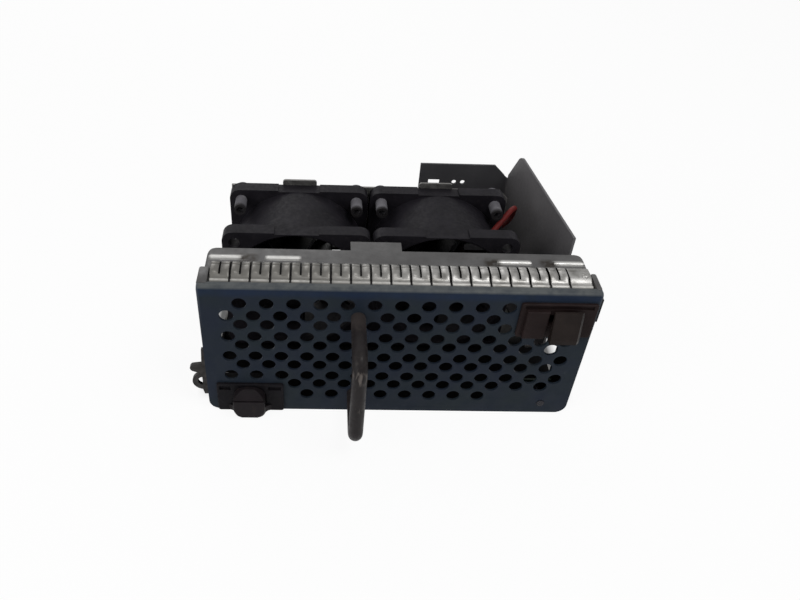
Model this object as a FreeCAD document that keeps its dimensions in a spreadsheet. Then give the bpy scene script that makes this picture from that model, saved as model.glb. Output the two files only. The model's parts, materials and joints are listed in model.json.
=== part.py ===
"""Hot-swap module with two 60 mm fans behind a perforated front plate.

The frame is +Z up, +X to the right seen from the front and +Y into the rack.  The origin lies on
the underside of the tray, under the middle of the front plate's outer face.
"""
import FreeCAD, Part
import math
import os
import re

import Sketcher

V = FreeCAD.Vector
Rotation = FreeCAD.Rotation
Placement = FreeCAD.Placement

# ---------------------------------------------------------------------------------------------
# Driving dimensions, in millimetres and degrees.
# ---------------------------------------------------------------------------------------------
SIZES = {
    # fits: rivets and screws in their holes, pressed pieces, panel cut-outs
    "snug": 0.05, "press_gap": 0.02, "latch_seat": 0.1, "plug_gap": 0.3,
    # front plate
    "plate_w": 148.5, "plate_h": 64.5, "plate_wall": 1.0, "plate_corner": 4.5,
    "plate_return": 3.3, "side_return": 11.5, "side_round": 5.0, "side_start": 5.5,
    # perforation: even rows have the half-pitch columns, odd rows the whole ones
    "hole_d": 5.45, "hole_pitch": 10.0, "row_pair": 10.4, "row_drop": 5.9,
    "row_inset": 7.6, "grid_shift": 0.75,
    # collar, tray and general sheet metal
    "collar_wall": 1.0, "collar_rear": 25.5, "collar_corner": 4.0,
    "collar_tab_w": 20.0, "collar_tab_x": -8.0, "collar_tab_reach": 5.8,
    "collar_foot": 8.0, "collar_foot_start": 11.0,
    "bead_len": 13.5, "bead_w": 1.6, "bead_y": 19.6,
    "tray_wall": 1.0, "tray_lip_h": 6.0, "tray_front_lip_h": 5.5, "tray_front_lip_w": 72.0,
    "rivet_r": 1.6, "rivet_head_r": 2.6, "rivet_head_h": 0.8,
    # shielding finger strip on the collar
    "strip_inset": 2.7, "strip_x": 0.25, "strip_front": 3.6, "strip_depth": 13.4,
    "strip_wall": 0.25, "strip_rise": 2.1, "strip_foot": 2.6,
    "finger_count": 19, "finger_slot": 0.7,
    # fans
    "fan_size": 60.0, "fan_depth": 38.0, "fan_front": 36.5, "fan_base": 3.0, "fan_gap": 0.9,
    "fan_pair_x": -9.0, "flange": 6.0, "flange_corner": 4.5, "drum_r": 29.3, "bore_r": 28.2,
    "mouth": 1.0, "screw_square": 50.0, "screw_hole_r": 2.25, "notch_w": 18.0, "notch_depth": 0.6,
    "vane_count": 5, "vane_wall": 1.5, "vane_depth": 5.0,
    "vane_recess": 1.0, "motor_base_r": 15.2,
    "motor_base_wall": 2.5, "tube_r": 4.3, "tube_front": 16.0,
    "hub_r": 14.6, "hub_wall": 1.4, "hub_front": 6.0, "hub_rear": 31.5, "hub_round": 2.5,
    "blade_count": 7, "blade_wall": 1.1, "blade_tip_gap": 0.6, "root_chord": 22.0,
    "root_angle": 58.0, "tip_chord": 25.0, "tip_angle": 40.0, "blade_mid": 18.5, "camber": 2.2,
    "shaft_r": 1.5, "bearing_r": 3.0, "bearing_w": 2.5, "running_gap": 0.04,
    "shaft_len": 25.0,
    "magnet_wall": 1.3, "magnet_len": 14.0, "air_gap": 0.4, "stator_len": 11.0,
    "drive_board_r": 12.5, "drive_board_wall": 1.0,
    # rubber fan mounts and the sheet that carries them
    "mount_head_r": 2.5, "mount_head_len": 8.0, "mount_neck_r": 2.2, "mount_tail_r": 3.6,
    "mount_bore_r": 1.5, "mount_bore_len": 5.0, "mount_tail_len": 2.0,
    "back_wall": 1.0, "back_opening_r": 28.2, "back_left": -69.0, "back_right": 53.4,
    "back_top": 62.0, "back_tab_w": 14.8, "back_tab_top": 64.8, "back_tab_left": -46.65,
    "back_tab_right": 13.1,
    "back_foot": 8.0,
    # black corner sheet that carries the rear connector
    "corner_wall": 1.0, "corner_front_x": 72.9, "corner_front_y": 35.5, "corner_x": 63.4,
    "corner_y": 113.5, "corner_left_x": 18.6, "corner_rear_top": 53.2, "corner_notch_z": 46.3,
    "corner_peak_back": 15.0, "corner_foot": 7.0, "corner_slot_x": 26.0, "corner_slot_z": 43.1,
    "corner_slot_w": 5.6, "corner_slot_h": 3.0, "corner_hole_r": 1.15,
    # control board and blind-mate connector
    "board_x": 40.0, "board_w": 34.0, "board_h": 30.0, "board_z": 7.0, "board_wall": 1.6,
    "post_len": 3.4, "post_r": 2.2, "post_inset": 3.5, "screw_r": 1.2,
    "plug_w": 22.0, "plug_h": 10.0, "plug_reach": 8.5, "plug_wall": 1.2, "plug_z": 14.0,
    "header_w": 10.5, "header_h": 6.0, "header_d": 6.5, "header_x": 46.0, "header_z": 29.0,
    "lead_r": 1.2, "lead_angle": 38.0, "lead_lean": 35.0, "lead_y": 21.5, "lead_rise": 17.0,
    "lead_tail": 15.0,
    # pull handle
    "handle_x": -15.2, "handle_z": 30.75, "handle_h": 46.3, "handle_reach": 27.5, "handle_r": 2.8,
    "handle_bend": 6.0, "handle_screw_r": 1.5, "handle_screw_len": 8.0,
    # status light
    "light_x": 62.85, "light_z": 5.6, "light_r": 1.6, "light_len": 9.0,
    "light_board_w": 12.0, "light_board_h": 9.0,
    # side latches
    "latch_travel": 6.0, "latch_gap": 0.3, "bezel_wall": 1.2, "latch_body_d": 7.0,
    "pawl_y": 3.0, "pawl_wall": 1.5, "pawl_h": 4.5, "stem_w": 5.0, "stop_gap": 0.5,
    # left latch: widths in from the plate's left edge, heights up from the tray's underside
    "left_bezel_in": 3.75, "left_bezel_w": 26.8, "left_bezel_z": 0.3, "left_bezel_h": 15.2,
    "left_body_in": 6.0, "left_body_w": 22.65, "left_body_z": 1.7, "left_body_h": 12.2,
    "left_window_z": 4.4, "left_window_h": 26.6, "left_stem_in": 14.75, "left_pawl_z": 7.75,
    "left_pawl_in": -0.45, "left_nose": 6.7, "left_pawl_top": 30.5, "eye_h": 4.6, "eye_r": 2.35,
    "left_thumb_in": 16.85, "thumb_w": 12.7, "thumb_foot_w": 6.5, "thumb_low": 1.0,
    "thumb_top": 14.5, "thumb_arch": 5.0, "thumb_rise": 4.7, "thumb_top_rise": 1.2,
    "thumb_groove_z": 10.4, "thumb_groove": 0.6, "wing_w": 17.3, "wing_h": 3.0, "wing_rise": 4.2,
    # right latch: widths in from the plate's right edge, heights down from its top
    "right_bezel_in": 29.5, "right_bezel_w": 28.75, "right_bezel_down": 20.6,
    "right_bezel_h": 16.3, "right_body_in": 28.05, "right_body_w": 22.0,
    "right_body_down": 19.1, "right_body_h": 13.4, "right_window_down": 16.6,
    "right_window_h": 13.2, "right_stem_in": 9.75, "right_pawl_down": 11.75,
    "right_pawl_in": -0.25, "right_nose": 1.9, "right_nose_down": 15.9, "right_nose_h": 11.8,
    "right_grip_in": 27.35, "grip_w": 8.4, "grip_h": 13.2, "grip_rise": 1.8,
    "right_button_in": 17.55, "button_w": 11.3, "button_h": 13.8, "button_rise": 3.0,
    "button_top_rise": 0.8, "button_bevel": 1.2,
}

doc = FreeCAD.newDocument("fan_module")
sheet = doc.addObject("Spreadsheet::Sheet", "dims")
for row, (alias, size) in enumerate(SIZES.items(), start=1):
    sheet.set(f"A{row}", alias)
    sheet.set(f"B{row}", str(size))
    sheet.setAlias(f"B{row}", alias)
doc.recompute()

PARTS = []


# ---------------------------------------------------------------------------------------------
# Helpers: formulas are written with the sheet's own words.
# ---------------------------------------------------------------------------------------------
def bound(formula):
    """A formula in the sheet's words, as a document expression."""
    return re.sub(r"[a-z][a-z_]*", lambda m: f"dims.{m[0]}" if m[0] in SIZES else m[0], str(formula))


def value(formula):
    """What a formula comes to now."""
    return float(sheet.evalExpression(bound(formula)))


def bind(obj, **formulas):
    """Binds properties of an object to formulas."""
    for name, formula in formulas.items():
        obj.setExpression(name, bound(formula))


def place(obj, x="0", y="0", z="0", rotation=None):
    """Puts an object at a formula-driven place."""
    obj.Placement = Placement(V(0, 0, 0), rotation or Rotation())
    for axis, formula in zip("xyz", (x, y, z)):
        obj.setExpression(f".Placement.Base.{axis}", bound(formula))
    return obj


def part(obj, label):
    """Names an object as one sub-part of the module."""
    obj.Label = label
    PARTS.append(obj)
    return obj


def body(label):
    """An empty PartDesign body that is a sub-part."""
    return part(doc.addObject("PartDesign::Body", "B_" + label), label)


def datum(owner, role):
    """One of a body's own origin planes or axes."""
    return next(f for f in owner.Origin.OriginFeatures if f.Role == role)


def sketch(owner, plane, offset="0"):
    """A sketch on an origin plane of its body, moved along the plane's normal."""
    sk = owner.newObject("Sketcher::SketchObject", owner.Name + "_sketch")
    sk.AttachmentSupport = [(datum(owner, plane), "")]
    sk.MapMode = "FlatFace"
    sk.setExpression("AttachmentOffset.Base.z", bound(offset))
    return sk


def pin_point(sk, edge, end, x, y):
    """Holds one end of a sketch edge at a formula-driven point."""
    for kind, formula in (("DistanceX", x), ("DistanceY", y)):
        index = sk.addConstraint(Sketcher.Constraint(kind, -1, 1, edge, end, value(formula)))
        sk.setExpression(f"Constraints[{index}]", bound(formula))


def arc_between(start, end, radius, turn):
    """The lesser arc between two points that turns left (1) or right (-1)."""
    middle = (start + end) * 0.5
    half = (end - start) * 0.5
    side = V(-half.y, half.x, 0)
    side.normalize()
    rise = math.sqrt(max(radius ** 2 - half.Length ** 2, 0))
    centre = middle + side * (turn * rise)
    first = start if turn > 0 else end
    last = end if turn > 0 else start
    angles = [math.atan2((spot - centre).y, (spot - centre).x) for spot in (first, last)]
    if angles[1] <= angles[0]:
        angles[1] += 2 * math.pi
    return Part.ArcOfCircle(Part.Circle(centre, V(0, 0, 1), radius), angles[0], angles[1])


def outline(sk, points, closed=True):
    """Lines and arcs through formula-driven points.

    A point is (x, y), or (x, y, radius, turn) if the edge that leaves it is an arc.
    """
    spots = [V(value(point[0]), value(point[1]), 0) for point in points]
    count = len(points) if closed else len(points) - 1
    ends = []
    for i in range(count):
        start, end = spots[i], spots[(i + 1) % len(points)]
        if len(points[i]) == 2:
            index = sk.addGeometry(Part.LineSegment(start, end))
            ends.append((index, 1, 2))
        else:
            radius, turn = points[i][2:]
            index = sk.addGeometry(arc_between(start, end, value(radius), turn))
            ends.append((index, 1, 2) if turn > 0 else (index, 2, 1))
    for i in range(count):
        index, start, end = ends[i]
        pin_point(sk, index, start, points[i][0], points[i][1])
        if len(points[i]) == 4:
            held = sk.addConstraint(Sketcher.Constraint("Radius", index, value(points[i][2])))
            sk.setExpression(f"Constraints[{held}]", bound(points[i][2]))
        if closed or i + 1 < count:
            after, after_start, _ = ends[(i + 1) % count]
            sk.addConstraint(Sketcher.Constraint("Coincident", index, end, after, after_start))
        else:
            pin_point(sk, index, end, points[-1][0], points[-1][1])
    return sk


def rectangle(sk, x, y, w, h):
    """A rectangle from its lower left corner and its size."""
    right = f"{x} + {w}"
    top = f"{y} + {h}"
    return outline(sk, [(x, y), (right, y), (right, top), (x, top)])


def circle(sk, x, y, radius):
    """A circle with a formula-driven centre and radius."""
    spot = V(value(x), value(y), 0)
    edge = sk.addGeometry(Part.Circle(spot, V(0, 0, 1), value(radius)))
    pin_point(sk, edge, 3, x, y)
    index = sk.addConstraint(Sketcher.Constraint("Radius", edge, value(radius)))
    sk.setExpression(f"Constraints[{index}]", bound(radius))
    return sk


def pad(owner, sk, length, reverse=False, middle=False):
    """Raises a sketch into a solid."""
    feature = owner.newObject("PartDesign::Pad", owner.Name + "_pad")
    feature.Profile = sk
    feature.Reversed = reverse
    feature.SideType = "Symmetric" if middle else "One side"
    bind(feature, Length=length)
    return settle(owner, feature)


def pocket(owner, sk, length=None, reverse=False, middle=False):
    """Cuts a sketch into the solid, right through it if no length is given."""
    before = owner.Tip.Shape.Volume
    feature = owner.newObject("PartDesign::Pocket", owner.Name + "_pocket")
    feature.Profile = sk
    feature.Reversed = reverse
    feature.SideType = "Symmetric" if middle else "One side"
    if length is None:
        feature.Type = "ThroughAll"
    else:
        bind(feature, Length=length)
    settle(owner, feature)
    if feature.Shape.Volume > before - 1e-6:
        raise ValueError(f"{owner.Label}: a pocket cuts nothing")
    return feature


def settle(owner, feature):
    """Makes a feature the tip of its body and works it out."""
    owner.Tip = feature
    doc.recompute()
    if feature.Shape.isNull() or not feature.Shape.isValid():
        raise ValueError(f"{owner.Label}: {feature.Name} failed")
    return feature


def revolve(owner, sk, axis=("V_Axis",), kind="PartDesign::Revolution"):
    """Turns a sketch once round one of its own axes."""
    feature = owner.newObject(kind, owner.Name + "_turn")
    feature.Profile = sk
    feature.ReferenceAxis = (sk, list(axis))
    feature.Angle = 360.0
    return settle(owner, feature)


def row_of(owner, feature, sk, count, spacing, axis="H_Axis"):
    """Repeats a feature in a straight row."""
    pattern = owner.newObject("PartDesign::LinearPattern", owner.Name + "_row")
    pattern.Originals = [feature]
    pattern.Direction = (sk, [axis])
    pattern.Mode = "Spacing"
    bind(pattern, Occurrences=count, Offset=spacing)
    return settle(owner, pattern)


def ring_of(owner, feature, sk, count, axis="N_Axis"):
    """Repeats a feature round an axis."""
    pattern = owner.newObject("PartDesign::PolarPattern", owner.Name + "_ring")
    pattern.Originals = [feature]
    pattern.Axis = (sk, [axis])
    pattern.Angle = 360.0
    bind(pattern, Occurrences=count)
    return settle(owner, pattern)


def edges_where(shape, test):
    """Names of the edges whose middle point and direction pass a test."""
    names = []
    for i, edge in enumerate(shape.Edges, start=1):
        first, last = edge.ParameterRange
        middle = edge.valueAt((first + last) / 2)
        along = edge.tangentAt((first + last) / 2)
        if test(middle, along, edge):
            names.append(f"Edge{i}")
    return names


def round_edges(owner, radius, test, kind="PartDesign::Fillet"):
    """Fillets or chamfers the edges of the body's tip that pass a test."""
    base = owner.Tip
    names = edges_where(base.Shape, test)
    if not names:
        raise ValueError(f"{owner.Label}: no edge to round")
    feature = owner.newObject(kind, owner.Name + "_round")
    feature.Base = (base, names)
    bind(feature, **{"Radius" if kind.endswith("Fillet") else "Size": radius})
    return settle(owner, feature)


def along(direction, axis):
    """Tells whether an edge runs along an axis, given as 0, 1 or 2."""
    return abs(abs(direction[axis]) - 1) < 1e-4


def close(a, formula):
    """Tells whether a coordinate is where a formula says."""
    return abs(a - value(formula)) < 1e-3


def box(name, x, y, z, w, d, h):
    """A Part box from its lowest corner and its sides along X, Y and Z."""
    solid = doc.addObject("Part::Box", name)
    bind(solid, Length=w, Width=d, Height=h)
    return place(solid, x, y, z)


ALONG = {"x": Rotation(V(0, 1, 0), 90), "y": Rotation(V(1, 0, 0), -90), "z": Rotation()}


def rod(name, axis, radius, length, x, y, z):
    """A Part cylinder that starts at a point and runs along +X, +Y or +Z."""
    solid = doc.addObject("Part::Cylinder", name)
    bind(solid, Radius=radius, Height=length)
    return place(solid, x, y, z, ALONG[axis])


def cut(name, base, tools):
    """A Part cut of one object by several."""
    result = base
    for i, tool in enumerate(tools):
        step = doc.addObject("Part::Cut", f"{name}_{i}")
        step.Base = result
        step.Tool = tool
        result = step
    doc.recompute()
    return result


def fuse(name, solids):
    """A Part fuse of several objects into one solid."""
    result = doc.addObject("Part::MultiFuse", name)
    result.Shapes = solids
    result.Refine = True
    doc.recompute()
    return result


def group(name, solids):
    """Several separate solids of one kind, kept in one node."""
    result = doc.addObject("Part::Compound", name)
    result.Links = solids
    doc.recompute()
    return result


# ---------------------------------------------------------------------------------------------
# Sheet metal
# ---------------------------------------------------------------------------------------------
SHEET_TOP = "(plate_h - plate_wall)"
COLLAR_HALF = "(plate_w/2 - plate_wall - snug)"
FAN_Z = "(fan_base + fan_size/2)"
FAN_REAR = "(fan_front + fan_depth)"
MOTOR_BASE = "(fan_depth - motor_base_wall - 2*vane_recess)"
HANDLE_FEET = ["handle_z - handle_h/2 + handle_r", "handle_z + handle_h/2 - handle_r"]

# perforation runs: row, first column, last column; columns of even rows lie half a pitch right
HOLE_RUNS = [
    (0, 0, 10), (1, 0, 4), (1, 6, 10), (2, 0, 10), (3, 0, 13), (4, 0, 12),
    (5, 0, 13), (6, 0, 12), (7, 0, 13), (8, 2, 12), (9, 3, 4), (9, 6, 10),
]

# rivets through the tray: the foot that each one holds, and where it stands
RIVETS = [
    ("collar", f"-{COLLAR_HALF} + collar_foot/2", "collar_foot_start + 5"),
    ("collar", f"{COLLAR_HALF} - collar_foot/2", "collar_foot_start + 5"),
    ("back", "back_left + 14", "fan_front + fan_depth + back_wall + back_foot/2"),
    ("back", "fan_pair_x", "fan_front + fan_depth + back_wall + back_foot/2"),
    ("back", "back_right - 12", "fan_front + fan_depth + back_wall + back_foot/2"),
    ("corner", "corner_front_x - 5.6", "corner_front_y + 9"),
    ("corner", "corner_x - 3.0", "corner_y - 20"),
    ("corner", "corner_left_x + 8", "corner_y - 5"),
]


def rivet_holes(owner, kind):
    """Drills the holes of one foot's rivets, or of all of them."""
    holes = sketch(owner, "XY_Plane", "tray_wall*2 + 0.5")
    for foot, x, y in RIVETS:
        if kind in (foot, "all"):
            circle(holes, x, y, "rivet_r + snug")
    pocket(owner, holes, "tray_wall*2 + 1")


def side_window(owner, side, outward):
    """Cuts the slot that a latch's pawl passes through in a side wall."""
    slot = sketch(owner, "YZ_Plane", f"({outward})*(plate_w/2 + 1)")
    rectangle(slot, "pawl_y - 0.5", latch_z(side, "window"), "pawl_wall + 1", f"{side}_window_h")
    pocket(owner, slot, "plate_wall + snug + collar_wall + 2", reverse=outward < 0)


def make_faceplate():
    """Front plate: perforated sheet with returns bent back along its top and its sides."""
    plate = body("faceplate")
    section = sketch(plate, "YZ_Plane")
    outline(section, [
        ("0", "0"), ("plate_wall", "0"), ("plate_wall", SHEET_TOP),
        ("plate_return", SHEET_TOP), ("plate_return", "plate_h"), ("0", "plate_h"),
    ])
    pad(plate, section, "plate_w", middle=True)
    round_edges(plate, "plate_wall + 0.5", lambda spot, way, edge:
                along(way, 0) and close(spot.y, "0") and close(spot.z, "plate_h"))
    round_edges(plate, "plate_corner", lambda spot, way, edge:
                along(way, 1) and close(spot.z, "0"))
    for outward in (-1, 1):
        flank = sketch(plate, "YZ_Plane", f"({outward})*plate_w/2")
        outline(flank, [
            ("plate_wall/2", "side_start"), ("side_return", "side_start"),
            ("side_return", "plate_h - side_round", "side_round", 1),
            ("side_return - side_round", "plate_h"), ("plate_wall + 0.6", "plate_h"),
            ("plate_wall + 0.6", f"{SHEET_TOP} - 1"), ("plate_wall/2", f"{SHEET_TOP} - 1"),
        ])
        pad(plate, flank, "plate_wall", reverse=outward > 0)
    for run_row, first, last in HOLE_RUNS:
        odd = run_row % 2
        holes = sketch(plate, "XZ_Plane")
        x = f"({first} - 6 - {odd}/2)*hole_pitch + grid_shift"
        z = f"plate_h - row_inset - {odd}*row_drop - {run_row // 2}*row_pair"
        circle(holes, x, z, "hole_d/2")
        hole = pocket(plate, holes, "plate_wall")
        row_of(plate, hole, holes, f"{last - first + 1}", "hole_pitch")
    openings = sketch(plate, "XZ_Plane")
    circle(openings, "light_x", "light_z", "light_r")
    for z in HANDLE_FEET:
        circle(openings, "handle_x", z, "handle_screw_r + 0.2")
    for side in ("left", "right"):
        x, z, w, h = latch_body(side)
        rectangle(openings, f"{x} - latch_seat", f"{z} - latch_seat",
                  f"{w} + 2*latch_seat", f"{h} + 2*latch_seat")
    pocket(plate, openings, "plate_wall")
    side_window(plate, "left", -1)
    side_window(plate, "right", 1)


def corner_cut(sk, x, y, radius, side):
    """Outline of what is cut away to round the rear corner of a flat sheet."""
    outline(sk, [
        (x, f"{y} - {radius}", radius, side), (f"{x} - {side}*{radius}", y),
        (f"{x} - {side}*{radius}", f"{y} + 2"), (f"{x} + {side}*2", f"{y} + 2"),
        (f"{x} + {side}*2", f"{y} - {radius}"),
    ])


def make_front_collar():
    """Inverted U behind the front plate, with feet on the tray and beads on its roof."""
    collar = body("front_collar")
    section = sketch(collar, "XZ_Plane", "-plate_wall")
    half, wall = COLLAR_HALF, "collar_wall"
    outline(section, [
        (f"-{half}", "tray_wall"), (f"-{half} + {wall}", "tray_wall"),
        (f"-{half} + {wall}", f"{SHEET_TOP} - {wall}"),
        (f"{half} - {wall}", f"{SHEET_TOP} - {wall}"), (f"{half} - {wall}", "tray_wall"),
        (half, "tray_wall"), (half, SHEET_TOP), (f"-{half}", SHEET_TOP),
    ])
    pad(collar, section, "collar_rear - plate_wall", reverse=True)
    round_edges(collar, "2*collar_wall", lambda spot, way, edge:
                along(way, 1) and close(spot.z, SHEET_TOP))
    round_edges(collar, "collar_wall", lambda spot, way, edge:
                along(way, 1) and close(spot.z, f"{SHEET_TOP} - collar_wall"))
    flanks = sketch(collar, "YZ_Plane")
    rectangle(flanks, "collar_rear - collar_corner", "0", "collar_corner + 1",
              f"{SHEET_TOP} - 2*collar_wall")
    pocket(collar, flanks, "plate_w", middle=True)
    for side in (1, -1):
        corner = sketch(collar, "XY_Plane", "plate_h")
        corner_cut(corner, f"{side}*{half}", "collar_rear", "collar_corner", side)
        pocket(collar, corner, "4*collar_wall")
    tab = sketch(collar, "XY_Plane", f"{SHEET_TOP} - collar_wall")
    rectangle(tab, "collar_tab_x - collar_tab_w/2", "collar_rear - 1", "collar_tab_w",
              "collar_tab_reach + 1")
    pad(collar, tab, wall)
    for side in (1, -1):
        foot = sketch(collar, "XY_Plane", "tray_wall")
        rectangle(foot, f"{side}*({half} - collar_foot/2) - collar_foot/2", "collar_foot_start",
                  "collar_foot", "collar_rear - collar_corner - collar_foot_start")
        pad(collar, foot, wall)
    for x, length in ((f"-{half} + 1.2", "bead_len - 0.8"), ("-50.6", "bead_len"),
                      ("38", "bead_len"), (f"{half} + 0.4 - bead_len", "bead_len - 1.6")):
        bead = sketch(collar, "YZ_Plane", x)
        outline(bead, [
            ("bead_y - bead_w/2", f"{SHEET_TOP} - 0.5"), ("bead_y + bead_w/2", f"{SHEET_TOP} - 0.5"),
            ("bead_y + bead_w/2", SHEET_TOP, "bead_w/2 + 0.05", 1),
            ("bead_y - bead_w/2", SHEET_TOP),
        ])
        pad(collar, bead, length)
    side_window(collar, "left", -1)
    side_window(collar, "right", 1)
    rivet_holes(collar, "collar")


def make_finger_strip():
    """Springy contact strip on the collar's roof, slit into fingers."""
    strip = body("emi_gasket")
    base, peak = SHEET_TOP, "strip_rise"
    front, rear = "strip_front", "(strip_front + strip_depth - strip_foot)"
    chord = "(strip_depth - strip_foot)"
    outer = f"({chord}^2/4 + {peak}^2)/(2*{peak})"
    section = sketch(strip, "YZ_Plane", "strip_x")
    outline(section, [
        (front, base, outer, -1), (rear, f"{base} + strip_wall"),
        (f"{rear} + strip_foot", f"{base} + strip_wall"), (f"{rear} + strip_foot", base),
        (f"{rear} - strip_wall", base, f"{outer} - strip_wall", 1),
        (f"{front} + strip_wall", base),
    ])
    length = f"(2*{COLLAR_HALF} - 2*strip_inset)"
    pad(strip, section, length, middle=True)
    pitch = f"({length}/finger_count)"
    left = f"(strip_x - {length}/2)"
    gap = sketch(strip, "XY_Plane", "plate_h + 5")
    rectangle(gap, f"{left} + {pitch} - finger_slot/2", f"{front} - 1", "finger_slot",
              f"{chord} + 1.3")
    slot = pocket(strip, gap, "10")
    row_of(strip, slot, gap, "finger_count - 1", pitch)
    half = sketch(strip, "XY_Plane", "plate_h + 5")
    rectangle(half, f"{left} + {pitch}/2 - finger_slot/2", f"{front} + 2.4", "finger_slot",
              f"{chord} - 2.1")
    slot = pocket(strip, half, "10")
    row_of(strip, slot, half, "finger_count - 1", pitch)


def make_tray():
    """Floor with a low lip on the left and in front, and a longer tongue at the right rear."""
    tray = body("tray")
    floor = sketch(tray, "XY_Plane")
    half = COLLAR_HALF
    rear = "fan_front + fan_depth + back_wall + back_foot"
    outline(floor, [
        (f"-{half}", "plate_wall"), (half, "plate_wall"), (half, "corner_front_y + 25"),
        ("corner_x + 1.5", "corner_y + 1"), ("corner_left_x - 1.5", "corner_y + 1"),
        ("corner_left_x - 1.5", rear), (f"-{half}", rear),
    ])
    pad(tray, floor, "tray_wall")
    lips = sketch(tray, "XY_Plane", "tray_wall")
    rectangle(lips, f"-{half}", "collar_rear + 1.5", "tray_wall",
              "fan_front + fan_depth - collar_rear")
    pad(tray, lips, "tray_lip_h - tray_wall")
    front = sketch(tray, "XY_Plane", "tray_wall")
    rectangle(front, "-tray_front_lip_w/2", "plate_wall", "tray_front_lip_w", "tray_wall")
    pad(tray, front, "tray_front_lip_h - tray_wall")
    rivet_holes(tray, "all")


def make_rivets():
    """Round-headed rivets, flush below the tray."""
    rivets = []
    for i, (foot, x, y) in enumerate(RIVETS):
        shank = rod(f"rivet_shank_{i}", "z", "rivet_r", "tray_wall*2 + rivet_head_h/2", x, y, "0")
        head = rod(f"rivet_head_{i}", "z", "rivet_head_r", "rivet_head_h", x, y, "tray_wall*2")
        rivets.append(fuse(f"rivet_{i}", [shank, head]))
    part(group("rivets", rivets), "tray_rivets")


def make_back_plate():
    """Upright sheet behind the fans, open at each fan, with a foot on the tray."""
    plate = body("rear_fan_plate")
    face = sketch(plate, "XZ_Plane", "-(fan_front + fan_depth)")
    outline(face, [
        ("back_left", "tray_wall"), ("back_right", "tray_wall"), ("back_right", "back_top - 4"),
        ("back_right - 4", "back_top"), ("back_tab_right + back_tab_w", "back_top"),
        ("back_tab_right + back_tab_w", "back_tab_top"), ("back_tab_right", "back_tab_top"),
        ("back_tab_right", "back_top"), ("back_tab_left + back_tab_w", "back_top"),
        ("back_tab_left + back_tab_w", "back_tab_top"), ("back_tab_left", "back_tab_top"),
        ("back_tab_left", "back_top"), ("back_left", "back_top"),
    ])
    pad(plate, face, "back_wall", reverse=True)
    openings = sketch(plate, "XZ_Plane", "-(fan_front + fan_depth)")
    for x in fan_centres():
        circle(openings, x, FAN_Z, "back_opening_r")
        for side in (-1, 1):
            for level in (-1, 1):
                circle(openings, f"{x} + {side}*screw_square/2", f"{FAN_Z} + {level}*screw_square/2",
                       "mount_neck_r + snug")
    pocket(plate, openings, "back_wall")
    foot = sketch(plate, "XY_Plane", "tray_wall")
    rectangle(foot, "back_left + 4", "fan_front + fan_depth + back_wall/2",
              "back_right - back_left - 8", "back_foot + back_wall/2")
    pad(plate, foot, "tray_wall")
    round_edges(plate, "1.2", lambda spot, way, edge:
                along(way, 1) and close(spot.z, "back_tab_top"))
    rivet_holes(plate, "back")


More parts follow.
